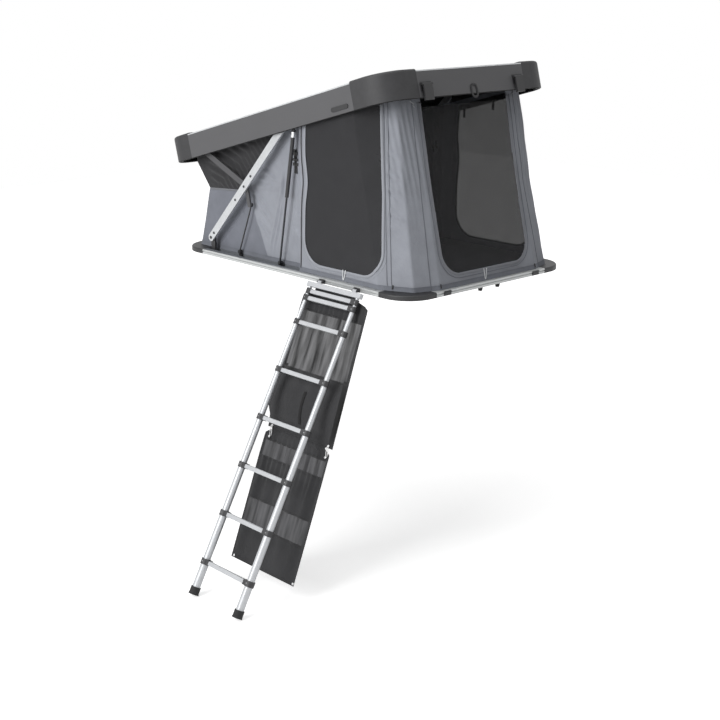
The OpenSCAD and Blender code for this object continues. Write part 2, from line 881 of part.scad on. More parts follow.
// Tent walls: two lofts with the drawn-in fold at the foot end, cut off inside the lid
cloth_z = base_h + gap;
cloth_top = 1400;
module under_lid(w) {
    lid_frame()
        translate([-big / 2, -big / 2, w - big])
            cube(big);
}
module rear_ring(z, draw, t) {
    r = tent_corner_r - t;
    x0 = tent_rear_in - half_l + t + draw + tent_lean * (z - cloth_z) / 1000;
    y = tent_y_rear - draw - t;
    translate([0, 0, z])
        linear_extrude(0.1)
            hull() {
                for (s = [-1, 1])
                    translate([x0 + r, s * (y - r)])
                        circle(r, $fn = 32);
                translate([tent_step_x - t - 1, -y])
                    square([1, 2 * y]);
            }
}
module front_ring(z, x1, y, t) {
    translate([0, 0, z])
        linear_extrude(0.1)
            hull() {
                translate([tent_step_x - 20, t - y])
                    square([1, 2 * (y - t)]);
                for (s = [-1, 1])
                    translate([x1 - 50, s * (y - 50)])
                        circle(50 - t, $fn = 32);
            }
}
module tent_solid(t) {
    foot_slope = (tent_front_top_x - fold_x) / (piv_c1.y - fold_z);
    up = 800;
    hull() {
        rear_ring(cloth_z, 0, t);
        rear_ring(crease_z, crease_draw, t);
    }
    hull() {
        rear_ring(crease_z, crease_draw, t);
        rear_ring(cloth_top, 0, t);
    }
    hull() {
        front_ring(cloth_z, tent_front_x, tent_y_front, t);
        front_ring(fold_z, fold_x, tent_y_front - fold_draw, t);
    }
    hull() {
        front_ring(fold_z, fold_x, tent_y_front - fold_draw, t);
        front_ring(fold_z + up, fold_x + foot_slope * up, tent_y_front + 6, t);
    }
}
module tent_shell(t0, t1) {
    intersection() {
        difference() {
            tent_solid(t0);
            translate([0, 0, -0.05]) tent_solid(t1);
        }
        under_lid(cloth_in_lid);
    }
}
module arch2d(x0, x1, z0, r, lean) {
    polygon([[x0, z0 + r], [x1, z0 + r], [x1, cloth_top], [x0 + lean * cloth_top / 1000, cloth_top]]);
    translate([x0 + r, z0]) square([x1 - x0 - 2 * r, 2 * r]);
    translate([x0 + r, z0 + r]) circle(r);
    translate([x1 - r, z0 + r]) circle(r);
}
module door_cut(s) {
    intersection() {
        plate(tent_y_rear - 200, 240)
            arch2d(door_x0 + s, door_x1 - s, door_z + s, door_r - s, door_lean);
        under_lid(cloth_in_lid / 3 - s);
    }
}
module window_cut(s) {
    intersection() {
        translate([-half_l, 0, 0])
            rotate([90, 0, 90])
                linear_extrude(2 * tent_corner_r)
                    arch2d(s - window_y, window_y - s, window_z + s, window_r - s, 0);
        under_lid(cloth_in_lid / 3 - s);
    }
}
function arm_x(z) = piv_a.x - (z - piv_a.y) / tan(arm_open);
module gusset_cut() {
    plate(-big / 2, big)
        polygon([[arm_x(fold_z), fold_z], [big / 2, fold_z], [big / 2, cloth_top],
            [arm_x(cloth_top), cloth_top]]);
}
module canvas() {
    color("slategray")
        difference() {
            tent_shell(0, cloth_t);
            both_sides() door_cut(0);
            window_cut(0);
            gusset_cut();
        }
}
module front_gusset() {
    color("dimgray")
        intersection() {
            tent_shell(0, cloth_t);
            gusset_cut();
        }
}
module skirt() {
    color("dimgray")
        intersection() {
            tent_shell(-gap - skirt_t, -gap);
            translate([-big / 2, -big / 2, 0]) cube([big, big, cloth_z + skirt_h]);
        }
}
module door_meshes() {
    color("black")
        intersection() {
            tent_shell(cloth_t / 3, cloth_t * 2 / 3);
            both_sides() door_cut(gap);
        }
}
module window_mesh() {
    color("black")
        intersection() {
            tent_shell(cloth_t / 3, cloth_t * 2 / 3);
            window_cut(gap);
        }
}

// Ladder, drawn hanging straight down from its hinge pin
stile_y = head_out;
function rung_z(k) = -head_drop - rung_at(k);
module stile_pair() {
    for (s = [-1, 1])
        translate([s * stile_gap / 2, stile_y, 0])
            children();
}
module tube_between(k, z_top, z_low) {
    difference() {
        translate([0, 0, z_low]) cylinder(h = z_top - z_low, r = tube_r(k));
        translate([0, 0, z_low - 1]) cylinder(h = z_top - z_low + 2, r = tube_r(k) - tube_wall);
    }
}
module rung(k) {
    len = stile_gap - 2 * (tube_r(k) + collar_wall - 1);
    difference() {
        translate([0, stile_y, rung_z(k)])
            along_x(len)
                difference() {
                    round_rect(rung_d, rung_h, 5);
                    round_rect(rung_d - 2 * rung_wall, rung_h - 2 * rung_wall, 3);
                }
        for (i = [-1, 0, 1])
            translate([-len / 2 - 1, stile_y + i * 8 - 1, rung_z(k) + rung_h / 2 - 0.8])
                cube([len + 2, 2, 2]);
    }
}
module ladder_stage(k) {
    top = rung_z(k) + tube_in_collar;
    low = k == rung_count ? rung_z(k) - foot_drop + foot_h / 2 : top - tube_len;
    color("gainsboro")
        ladder_frame() {
            stile_pair() tube_between(k, top, low);
            if (k > 0) rung(k);
        }
}
module ladder_collars(k) {
    r = tube_r(k) + collar_wall;
    socket = 12;
    color("black")
        ladder_frame()
            for (m = [0, 1])
                mirror([m, 0, 0])
                    translate([stile_gap / 2, stile_y, rung_z(k)])
                        difference() {
                            union() {
                                translate([0, 0, -collar_h / 2]) cylinder(h = collar_h, r = r);
                                translate([-r - socket, -rung_d / 2 - 3, -rung_h / 2 - 3])
                                    cube([r + socket, rung_d + 6, rung_h + 6]);
                            }
                            translate([1 - r, 0, 0])
                                rotate([90, 0, -90])
                                    linear_extrude(socket + 2)
                                        round_rect(rung_d + 2 * slip, rung_h + 2 * slip, 5);
                            translate([0, 0, -collar_h])
                                cylinder(h = collar_h + tube_in_collar, r = tube_r(k) + slip);
                            cylinder(h = collar_h, r = tube_r(k - 1) + gap);
                        }
}
module ladder_stage_0() { ladder_stage(0); }
module ladder_stage_1() { ladder_stage(1); }
module ladder_stage_2() { ladder_stage(2); }
module ladder_stage_3() { ladder_stage(3); }
module ladder_stage_4() { ladder_stage(4); }
module ladder_stage_5() { ladder_stage(5); }
module ladder_stage_6() { ladder_stage(6); }
module ladder_stage_7() { ladder_stage(7); }
module ladder_stage_8() { ladder_stage(8); }
module ladder_collars_1() { ladder_collars(1); }
module ladder_collars_2() { ladder_collars(2); }
module ladder_collars_3() { ladder_collars(3); }
module ladder_collars_4() { ladder_collars(4); }
module ladder_collars_5() { ladder_collars(5); }
module ladder_collars_6() { ladder_collars(6); }
module ladder_collars_7() { ladder_collars(7); }
module ladder_collars_8() { ladder_collars(8); }
module ladder_feet() {
    r = tube_r(rung_count);
    z = rung_z(rung_count) - foot_drop;
    color("black")
        ladder_frame()
            stile_pair()
                translate([0, 0, z])
                    difference() {
                        union() {
                            cylinder(h = foot_h, r = r + 5);
                            cylinder(h = 10, r1 = r + 8, r2 = r + 5);
                        }
                        translate([0, 0, foot_h / 2]) cylinder(h = foot_h, r = r + slip);
                    }
}
// Head bar with hinge knuckles
hinge_pin_r = 5;
knuckle_r = 9;
knuckle_len = 30;
module ladder_head() {
    z = rung_z(0);
    color("gainsboro")
        ladder_frame()
            difference() {
                union() {
                    translate([0, stile_y, z])
                        along_x(stile_gap + 50)
                            round_rect(head_d, head_h, 2.2);
                    for (s = [-1, 1])
                        translate([s * hinge_gap / 2 - knuckle_len / 2, 0, 0])
                            rotate([90, 0, 90])
                                linear_extrude(knuckle_len) {
                                    circle(knuckle_r);
                                    translate([-knuckle_r * 2 / 3, z + head_h / 3])
                                        square([knuckle_r * 1.5, -z - head_h / 3 - knuckle_r / 3]);
                                }
                }
                for (s = [-1, 1])
                    translate([s * hinge_gap / 2, 0, 0])
                        rotate([0, 90, 0])
                            cylinder(h = knuckle_len + 2, r = hinge_pin_r + slip, center = true);
                stile_pair()
                    translate([0, 0, z - head_h])
                        cylinder(h = head_h + tube_in_collar, r = tube_r(0) + slip);
            }
}
module ladder_hinges() {
    ear = 8;
    y = half_w + hinge_out;
    color("black")
        for (s = [-1, 1])
            translate([ladder_x + s * hinge_gap / 2, 0, 0]) {
                for (e = [-1, 1])
                    translate([e * (knuckle_len / 2 + gap + ear / 2) - ear / 2, 0, 0])
                        rotate([90, 0, 90])
                            linear_extrude(ear)
                                bar2d([half_w + 7, hinge_z], [y, hinge_z], 14);
                translate([-knuckle_len / 2 - gap - ear, half_w, 0])
                    cube([knuckle_len + 2 * (gap + ear), hinge_out - knuckle_r - 1, slot_z + slot_h + 6]);
                translate([0, y, hinge_z])
                    rotate([0, 90, 0])
                        cylinder(h = knuckle_len + 2 * gap, r = hinge_pin_r, center = true);
            }
}

// Organiser: two cloth panels with hanging folds, behind the ladder
org_top = -head_drop + head_h / 4;
function fold_y(u, v) = org_fold * sin(360 * org_folds * u) * sin(180 * v);
module cloth_panel(len, w, seed, back, head, head_w) {
    nx = 8 * org_folds;
    nz = 12;
    rows = [0, 0.6 * head, 1.2 * head, for (j = [3 : nz]) 1.2 * head + (len - 1.2 * head) * (j - 2) / (nz - 2)];
    pts = [for (side = [0, 1], j = [0 : nz], i = [0 : nx])
        [(i / nx - 0.5) * (j < 2 ? head_w : w),
            fold_y(i / nx + seed, rows[j] / len) - side * org_t - back * min(1, j), -rows[j]]];
    n = (nx + 1) * (nz + 1);
    function at(side, j, i) = side * n + j * (nx + 1) + i;
    rims = [for (j = [0 : nz], i = [0 : nx]) if (j == 0 || j == nz || i == 0 || i == nx) [j, i]];
    faces = concat(
        [for (j = [0 : nz - 1], i = [0 : nx - 1]) each
            [[at(0, j, i), at(0, j + 1, i), at(0, j, i + 1)],
             [at(0, j, i + 1), at(0, j + 1, i), at(0, j + 1, i + 1)],
             [at(1, j, i), at(1, j, i + 1), at(1, j + 1, i)],
             [at(1, j, i + 1), at(1, j + 1, i + 1), at(1, j + 1, i)]]],
        [for (i = [0 : nx - 1]) each
            [[at(0, 0, i), at(0, 0, i + 1), at(1, 0, i)],
             [at(1, 0, i), at(0, 0, i + 1), at(1, 0, i + 1)],
             [at(0, nz, i), at(1, nz, i), at(0, nz, i + 1)],
             [at(1, nz, i), at(1, nz, i + 1), at(0, nz, i + 1)]]],
        [for (j = [0 : nz - 1]) each
            [[at(0, j, 0), at(1, j, 0), at(0, j + 1, 0)],
             [at(1, j, 0), at(1, j + 1, 0), at(0, j + 1, 0)],
             [at(0, j, nx), at(0, j + 1, nx), at(1, j, nx)],
             [at(1, j, nx), at(0, j + 1, nx), at(1, j + 1, nx)]]]);
    polyhedron(pts, faces, convexity = 6);
}
module organiser_frame() {
    y = stile_y - head_d / 2 - gap;
    ladder_frame()
        translate([-20, y, org_top])
            rotate([-org_lean, 0, 0])
                children();
}
module organiser_upper() {
    color("black")
        organiser_frame()
            cloth_panel(org_upper_len, org_w, 0, org_back, org_head, org_head_w);
}
module organiser_lower() {
    color("black")
        organiser_frame()
            translate([org_lower_off, -org_back, -org_upper_len - org_gap])
                cloth_panel(org_lower_len, org_lower_w, 0.1, 0, org_head, org_lower_w);
}
module organiser_hooks() {
    color("silver")
        organiser_frame()
            for (s = [-1, 1])
                translate([s * (org_w / 2 - 30), -org_back - org_t / 2, -org_upper_len - org_gap / 2])
                    cube([14, 3, org_gap], center = true);
}

base_rails();
base_corners();
floor_panel();
mount_channels();
bumpers();
mattress();
base_brackets();
ladder_hinges();
lid_rails();
lid_corners();
lid_panel();
lid_trim();
lid_seal();
lid_brackets();
lid_grips();
pull_loop();
latch_plates();
latch_left();
latch_right();
latch_keepers();
lift_arms();
arm_rivets();
arm_glides();
braces();
control_rods();
strut_rods();
strut_tubes();
canvas();
front_gusset();
skirt();
door_meshes();
window_mesh();
ladder_head();
ladder_stage_0();
ladder_stage_1();
ladder_stage_2();
ladder_stage_3();
ladder_stage_4();
ladder_stage_5();
ladder_stage_6();
ladder_stage_7();
ladder_stage_8();
ladder_collars_1();
ladder_collars_2();
ladder_collars_3();
ladder_collars_4();
ladder_collars_5();
ladder_collars_6();
ladder_collars_7();
ladder_collars_8();
ladder_feet();
organiser_upper();
organiser_lower();
organiser_hooks();
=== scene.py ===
import math

import bpy
import numpy as np
from bpy.props import FloatProperty, FloatVectorProperty, IntProperty, PointerProperty
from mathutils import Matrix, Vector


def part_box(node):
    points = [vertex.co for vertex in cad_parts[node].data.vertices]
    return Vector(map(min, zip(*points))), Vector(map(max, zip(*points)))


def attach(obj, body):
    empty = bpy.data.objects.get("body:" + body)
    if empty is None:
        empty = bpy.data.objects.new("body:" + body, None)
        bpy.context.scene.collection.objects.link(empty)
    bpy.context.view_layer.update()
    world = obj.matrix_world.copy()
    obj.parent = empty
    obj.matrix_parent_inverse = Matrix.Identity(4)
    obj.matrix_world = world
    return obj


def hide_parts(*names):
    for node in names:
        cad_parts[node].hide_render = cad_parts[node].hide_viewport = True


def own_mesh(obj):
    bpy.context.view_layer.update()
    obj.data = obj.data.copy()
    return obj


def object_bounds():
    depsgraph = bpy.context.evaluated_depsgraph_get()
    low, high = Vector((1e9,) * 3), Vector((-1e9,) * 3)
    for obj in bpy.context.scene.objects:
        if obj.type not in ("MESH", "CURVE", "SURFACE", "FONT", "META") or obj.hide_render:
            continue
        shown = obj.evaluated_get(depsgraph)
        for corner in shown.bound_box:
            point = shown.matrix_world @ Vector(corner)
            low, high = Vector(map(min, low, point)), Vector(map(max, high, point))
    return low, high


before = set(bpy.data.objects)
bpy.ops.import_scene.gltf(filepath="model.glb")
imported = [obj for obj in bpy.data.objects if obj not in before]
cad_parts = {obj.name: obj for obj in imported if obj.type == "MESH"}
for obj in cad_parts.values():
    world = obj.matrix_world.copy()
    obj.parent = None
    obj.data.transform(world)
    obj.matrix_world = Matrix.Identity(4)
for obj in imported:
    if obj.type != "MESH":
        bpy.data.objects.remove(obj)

bl_info = {
    "name": "Roof top tent",
    "version": (1, 0, 0),
    "blender": (4, 5, 0),
    "location": "View3D > Sidebar > Tent",
    "description": "Cloth, finishes and studio for a wedge roof top tent with a telescopic ladder",
    "category": "Object",
}

CAD_BOX = [list(corner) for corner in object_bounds()]
SIDES = ((1, "left"), (-1, "right"))

# Form of the tent walls, in metres, as in the part's source
CLOTH_Z = 0.0303
REAR_X, REAR_Y, REAR_LEAN, CORNER_R = -1.037, 0.664, 0.221, 0.25
CREASE_Z, CREASE_DRAW, TOP_Z = 0.56, 0.014, 1.4
STEP_X, STEP_RUN = -0.108, 0.042
FOLD_Z, FOOT_R, HEM_RISE = 0.416, 0.05, 0.022
FOOT_Z, FOOT_X = (CLOTH_Z, FOLD_Z, 0.571, TOP_Z), (0.996, 0.901, 1.022, 1.022)
FLANK_Z, FLANK_Y = (CLOTH_Z, FOLD_Z, 1.191), (0.604, 0.592, 0.610)
LID_C, LID_X, LID_TILT, LID_W = (0.8493, 0.66011), 0.725, math.radians(15.11), 0.03
ARM_A, ARM_ANGLE = (0.775, 0.110), math.radians(46.13)
GUTTER_Y = 0.6795
STRUT, STRUT_Y = ((-0.041, 0.9069), (0.115, 0.040)), 0.638
DOOR = {"x0": -0.812, "x1": -0.148, "z": 0.09, "r": 0.15, "lean": 0.107}
WINDOW = {"y": 0.364, "z": 0.10, "r": 0.13}
# How far the cloth reaches up behind the lid's edge, how far a net reaches past its opening's sides and
# sill, and how far off the cloth it lies
LID_LAP, NET_LAP, NET_SILL, NET_OUT = 0.06, 0.008, 0.006, -0.002

# Creases in the side walls, from point to point in x and z
FAN = (
    ((0.43, 0.456), (0.20, 0.303)), ((0.41, 0.405), (0.235, 0.268)), ((0.40, 0.483), (0.18, 0.478)),
    ((0.385, 0.280), (0.255, 0.165)), ((0.345, 0.295), (0.235, 0.200)), ((0.33, 0.594), (0.165, 0.527)),
    ((0.36, 0.535), (0.175, 0.498)), ((0.01, 0.365), (-0.085, 0.308)), ((0.04, 0.264), (-0.075, 0.198)),
)
# Two pleats beside the strut, and the ridge beyond which the wall has painted shade, as x at these heights
PLEAT_Z, PLEATS = (0.13, 0.36, 0.62), ((0.243, 0.178, 0.108), (0.212, 0.151, 0.124))
RIDGE_Z = (0.03, 0.08, 0.2, 0.3, 0.39, 0.48, 0.62)
RIDGE_X = (0.268, 0.28, 0.336, 0.392, 0.424, 0.445, 0.42)
# Heights between which seams and creases on the rear corner slant
SEAM_Z = (0.08, 1.04)

# Ladder frame: hinge pin and slope, then the organiser's hang in it
PIN = np.array([-0.5, 0.716, 0.010])
LADDER_TURN = math.radians(28.7)
STILE_X, STILE_Y = 0.204, 0.0124
RUNG_Z = -0.028 - np.array([0, 0.042, 0.084, 0.235, 0.5343, 0.8336, 1.1329, 1.4322, 1.7315])
ORGANISER = np.array([-0.020, -0.0009, -0.0205])
ORGANISER_TURN = math.radians(-7.3)
# The organiser's cloths: size, place, phase of the folds, depth of the pocket, height and width of the
# narrow head, and the bands of net as shares of the length
PANELS = {
    "upper": {"wide": 0.60, "long": 0.885, "at": (0.018, 0, 0), "phase": 0.0, "back": 0.012,
              "head": (0.06, 0.36), "nets": [(0.17, 0.58)]},
    "lower": {"wide": 0.57, "long": 0.825, "at": (0.012, -0.012, -0.870), "phase": 0.1, "back": 0.0,
              "head": (0.045, 0.47), "nets": [(0.10, 0.23), (0.54, 0.73)]},
}
# Where the upper cloth's pocket starts, and the share of its width that runs back at each edge
POCKET_V, STRIP_U = 0.56, 0.07

# Studio: each lamp's place, size and power, the point that they face, and the photograph's camera
LAMPS = (
    ("lamp_side", (-0.1, 7.8, 3.4), 4.5, 450),
    ("lamp_top", (-1.0, 1.0, 7.0), 6.0, 225),
    ("lamp_rear", (-7.5, -1.0, 3.0), 4.0, 7),
)
LAMP_AIM = np.array([0, 0, 0.3])
CAMERA_AT, CAMERA_WAY, CAMERA_LENS = (-6.166, 5.819, 1.784), (0.70238, -0.65466, -0.27944), 67.40


def linear(hex_value):
    """Turns an sRGB hex colour into linear RGBA, channel by channel with the sRGB curve."""
    srgb = [(hex_value >> shift & 255) / 255 for shift in (16, 8, 0)]
    return tuple(c / 12.92 if c <= 0.04045 else ((c + 0.055) / 1.055) ** 2.4 for c in srgb) + (1.0,)


class TentSizes(bpy.types.PropertyGroup):
    """Sizes of the cloth and of the small fittings."""

    slack: FloatProperty(
        name="Slack", description="Depth of the folds in the walls", default=0.006, unit="LENGTH"
    )
    tape: FloatProperty(
        name="Binding", description="Width of the binding round door and window", default=0.016, unit="LENGTH"
    )
    zip: FloatProperty(
        name="Zip", description="Width of a closed zip", default=0.008, unit="LENGTH"
    )
    gather: FloatProperty(
        name="Gather", description="Depth of the organiser's hanging folds", default=0.007, unit="LENGTH"
    )
    pad_crown: FloatProperty(
        name="Pad crown", description="Height of the mattress between its seams", default=0.006, unit="LENGTH"
    )
    tie: FloatProperty(
        name="Skirt tie", description="Width of the straps that hold the skirt down", default=0.010,
        unit="LENGTH",
    )
    pad_rows: IntProperty(
        name="Pad rows", description="Sewn rows along the mattress", default=6, min=1, max=20
    )


class TentColours(bpy.types.PropertyGroup):
    """Colours of the main finishes."""

    wall: FloatVectorProperty(
        name="Wall", description="Grey wall cloth", size=4, subtype="COLOR", default=linear(0x979AA2)
    )
    # painted shade: this darker colour, mixed in beyond the ridge at the foot, stands for shade on the grey
    # wall cloth there
    wall_painted_shade: FloatVectorProperty(
        name="Foot wall", description="Darker wall cloth at the foot", size=4, subtype="COLOR",
        default=linear(0x7B7E87),
    )
    gusset: FloatVectorProperty(
        name="Gusset", description="Charcoal cloth under the lid", size=4, subtype="COLOR",
        default=linear(0x2B2B2D),
    )
    skirt: FloatVectorProperty(
        name="Skirt", description="Cloth along the base", size=4, subtype="COLOR", default=linear(0x757880)
    )
    lid: FloatVectorProperty(
        name="Lid", description="Powder coat of the lid", size=4, subtype="COLOR", default=linear(0x545456)
    )
    moulding: FloatVectorProperty(
        name="Moulding", description="Black moulded nylon", size=4, subtype="COLOR", default=linear(0x212123)
    )


# Forms

def smooth(edge0, edge1, value):
    """Smooth step: 0 below the first edge, 1 above the second, a cubic between."""
    t = np.clip((value - edge0) / (edge1 - edge0), 0, 1)
    return t * t * (3 - 2 * t)


def bell(off, width):
    """Bell curve: 1 in the middle, falling with the square of the distance over the width."""
    return np.exp(-((off / width) ** 2))


def unit(vectors):
    """Vectors brought to length 1."""
    return vectors / np.linalg.norm(vectors, axis=-1, keepdims=True)


def stack(*parts):
    """Points from coordinates that are spread to one shape."""
    return np.stack(np.broadcast_arrays(*parts), -1)


def lid_z(x, w):
    """Height at which an upright through x meets the lid's plane, w above the lid's lower edge."""
    return LID_C[1] + (w - LID_W - (x - LID_C[0]) * math.sin(LID_TILT)) / math.cos(LID_TILT)


def rear_draw(z):
    """How far the rear walls are drawn in: none at the base and the lid, most at the crease."""
    return np.interp(z, [CLOTH_Z, CREASE_Z, TOP_Z], [0, CREASE_DRAW, 0])


def rear_line(z):
    """The tight rear wall's x at a height: drawn in, and leaning forward."""
    return REAR_X + rear_draw(z) + REAR_LEAN * (z - CLOTH_Z)


def crease_line(x, z, ends, width, depth):
    """A crease: a bell across the line between two points, fading to both ends."""
    (xa, za), (xb, zb) = ends
    dx, dz = xb - xa, zb - za
    t = ((x - xa) * dx + (z - za) * dz) / (dx * dx + dz * dz)
    off = ((x - xa) * dz - (z - za) * dx) / math.hypot(dx, dz)
    fade = np.sin(np.pi * np.clip(t * 0.9 + 0.08, 0, 1))
    return depth * fade * bell(off, width)


def crease_turn(z):
    """Angle round the rear corner, from the rear, at which the tight cloth breaks in a crease."""
    return np.radians(np.interp(z, [CLOTH_Z, 0.6, 1.06], [39, 33, 26]))


def slack(x, y, z):
    """How far the cloth stands off its tight form: long soft waves, creases fanning out from the
    brace at the foot, slanted creases at the rear corners and a fine gather beside the strut."""
    waves = np.sin(9.1 * x + 4.3 * z + 1.1) * np.sin(7.7 * z - 3.1 * x + 5.1 * y + 0.4)
    waves = waves + 0.5 * np.sin(23 * x - 12 * z + 3 * y) * np.sin(15 * z + 9 * x + 7 * y + 2)
    out = 0.22 * waves
    side = smooth(0.5, 0.58, np.abs(y))
    # each crease is a ridge with a hollow 22 mm above it
    for ends in FAN:
        out = out + side * crease_line(x, z, ends, 0.011, 1.3)
        out = out - side * crease_line(x, z - 0.022, ends, 0.015, 1.1)
    # two pleats from beside the strut's foot up along it
    held = side * smooth(0.06, 0.16, z) * smooth(0.66, 0.5, z)
    for pleat in PLEATS:
        off = x - np.interp(z, PLEAT_Z, pleat)
        out = out + held * (bell(off, 0.009) - 1.1 * bell(off + 0.016, 0.010))
    # slanted creases and a soft drape on the rear corner's side facet
    back = rear_line(z) + CORNER_R - x
    turn = np.arctan2(np.abs(y) - REAR_Y + rear_draw(z) + CORNER_R, back)
    corner = smooth(-0.02, 0.02, back) * smooth(0.3, 0.45, np.abs(y))
    row = np.mod((z - 0.20 * turn + 0.012 * np.sin(31 * z)) / 0.118, 1) - 0.5
    slant = bell(row, 0.13) - 0.8 * bell(row + 0.27, 0.13)
    inside = smooth(0.0, 0.12, np.interp(z, SEAM_Z, [1.29, 0.76]) - turn)
    facet = smooth(0.0, 0.15, turn - crease_turn(z)) * inside
    out = out + corner * 1.3 * facet * slant * smooth(0.28, 0.45, z) * smooth(0.86, 0.7, z)
    drape = np.sin(2 * np.pi * turn * CORNER_R / 0.036 + 3 * np.sin(4 * z))
    out = out + corner * 0.36 * inside * drape * smooth(0.3, 0.85, z)
    gather = smooth(0.13, 0.02, np.abs(x + 0.03)) * side * smooth(0.04, 0.2, z)
    out = out + 0.3 * gather * np.sin(2 * np.pi * (x + 0.05 * np.sin(5 * z)) / 0.034)
    out = out + side * 1.3 * bell(x - np.interp(z, RIDGE_Z, RIDGE_X), 0.03) * smooth(0.7, 0.5, z)
    return bpy.context.scene.tent_sizes.slack * out


def corner_form(a, z):
    """The rear corner as two tight facets: straight from the rear to the crease and from the crease to
    the side, where a is the angle on the quarter circle that they cut short."""
    turn = crease_turn(z)
    low = np.clip(a / turn, 0, 1)
    high = np.clip((a - turn) / (np.pi / 2 - turn), 0, 1)
    back = 1 + low * (np.cos(turn) - 1) - high * np.cos(turn)
    out = low * np.sin(turn) + high * (1 - np.sin(turn))
    return back, out


def wall(p, z, side, out=0.0):
    """Points of the tent wall, and their normals. p runs round half of it: 0 to 1 the rear, 1 to 2 the
    rear corner's two facets, 2 to 3 the side, 3 to 4 the step in beside the strut, 4 to 5 the side at
    the foot, 5 to 6 the foot corner, 6 to 7 the foot. side is 1 or -1, out the distance off the cloth,
    and the slack is added along the flat normal."""
    p, z = np.broadcast_arrays(np.asarray(p, float), np.asarray(z, float))
    x0 = rear_line(z) - out
    yr, r = REAR_Y - rear_draw(z) + out, CORNER_R + out
    xf = np.interp(z, FOOT_Z, FOOT_X) + out
    yf = np.interp(z, FLANK_Z, FLANK_Y) + out
    rf = FOOT_R + out
    k = np.clip(p.astype(int), 0, 6)
    t = p - k
    a = t * np.pi / 2
    xs, xe, xg = x0 + r, STEP_X, STEP_X + STEP_RUN
    round_x, round_y = corner_form(a, z)
    x = np.choose(k, [
        x0, xs - r * round_x, xs + (xe - xs) * t, xe + (xg - xe) * t,
        xg + (xf - rf - xg) * t, xf - rf + rf * np.sin(a), xf,
    ])
    y = np.choose(k, [
        (yr - r) * t, yr - r + r * round_y, yr, yr + (yf - yr) * smooth(0, 1, t),
        yf, yf - rf + rf * np.cos(a), (yf - rf) * (1 - t),
    ])
    none, one = np.zeros_like(t), np.ones_like(t)
    nx = np.choose(k, [-one, -np.cos(a), none, none, none, np.sin(a), one])
    ny = np.choose(k, [none, np.sin(a), one, one, one, np.cos(a), none])
    d = slack(x, side * y, z) * smooth(CLOTH_Z, CLOTH_Z + 0.06, z)
    return stack(x + nx * d, side * (y + ny * d), z), stack(nx, side * ny, none)


def side_place(x, z):
    """The wall parameter of a point on the side: on the corner's facet behind it, straight ahead of it."""
    xs = rear_line(z) + CORNER_R
    turn = crease_turn(z)
    share = np.clip((xs - x) / (CORNER_R * np.cos(turn)), 0, 1)
    bend = 1 + (np.pi / 2 - share * (np.pi / 2 - turn)) / (np.pi / 2)
    return np.where(x < xs, bend, 2 + np.clip((x - xs) / (STEP_X - xs), 0, 0.999))


def rear_place(y, z):
    """The wall parameter of a point on the rear."""
    return y / (REAR_Y - rear_draw(z) - CORNER_R)


def wall_top(p, w):
    """Height at which the wall at p meets the lid's plane, by repeating the lid's height at the wall's x."""
    z = np.full_like(np.asarray(p, float), 0.9)
    for _ in range(14):
        z = lid_z(wall(p, z, 1)[0][..., 0], w)
    return z


def half_columns(counts):
    """Wall parameters from the middle of the rear to the middle of the foot, so many to each stretch."""
    return np.concatenate([k + np.arange(n) / n for k, n in enumerate(counts)] + [[7.0]])


def whole_round(p, z):
    """A closed loop of wall points: one half from rear to foot, then the other half back."""
    near, far = (wall(p, z, side)[0] for side, _ in SIDES)
    return np.concatenate([near, far[:, -2:0:-1]], axis=1)


def round_uv(points):
    """UV of a closed loop of wall points, in metres: the run along its first row, and the height."""
    steps = np.diff(points[:1], axis=1, append=points[:1, :1])
    return stack(np.cumsum(np.linalg.norm(steps, axis=2), axis=1), points[..., 2])


def door_bulge(z):
    """How far the slack cloth pushes the door's front edge back: a bell halfway up."""
    return 0.02 * bell(z - 0.58, 0.12) + 0.014 * smooth(0.7, 0.95, z)


def sill_inset(opening, z, grow):
    """How far an opening's edges are drawn in by its rounded sill corners at a height."""
    r = opening["r"] + grow
    low = np.clip(opening["z"] - grow + r - z, 0, r)
    return r - np.sqrt(r * r - low * low)


def door_edges(z, grow=0.0):
    """Rear and front edge of the door at a height: straight, the rear one leaning, rounded at the sill."""
    inset = sill_inset(DOOR, z, grow)
    return DOOR["x0"] - grow + DOOR["lean"] * z + inset, DOOR["x1"] + grow - inset - door_bulge(z)


def window_edge(z, grow=0.0):
    """Half width of the rear window at a height: straight, rounded at the sill."""
    return WINDOW["y"] + grow - sill_inset(WINDOW, z, grow)


def arm_edge(z):
    """The charcoal gusset's slanted edge, 62 mm ahead of the lift arm's middle and hidden behind it."""
    return ARM_A[0] - (z - ARM_A[1]) / math.tan(ARM_ANGLE) + 0.062


def door_line(grow, side, out):
    """Path round the door, down the front from the lid's edge, along the sill and up the rear, with its
    normals."""
    top_f, top_r = lid_z(DOOR["x1"], 0.012), lid_z(-0.71, 0.012)
    r, z0 = DOOR["r"] + grow, DOOR["z"] - grow
    a = np.linspace(0, np.pi / 2, 24)
    down = np.linspace(top_f, z0 + r, 60)[:-1]
    rise = np.linspace(z0 + r, top_r, 60)[1:]
    xf, xr = DOOR["x1"] + grow, DOOR["x0"] - grow
    flat = np.linspace(xf - r, xr + r + DOOR["lean"] * z0, 40)[1:-1]
    bend_f, bend_r = z0 + r - r * np.sin(a), z0 + r - r * np.cos(a)
    x = np.concatenate([
        np.full_like(down, xf), xf - r + r * np.cos(a), flat,
        xr + r - r * np.sin(a) + DOOR["lean"] * bend_r, xr + DOOR["lean"] * rise])
    z = np.concatenate([down, bend_f, np.full_like(flat, z0), bend_r, rise])
    x = x - np.where(x > -0.4, door_bulge(z), 0)
    return wall(side_place(x, z), z, side, out)


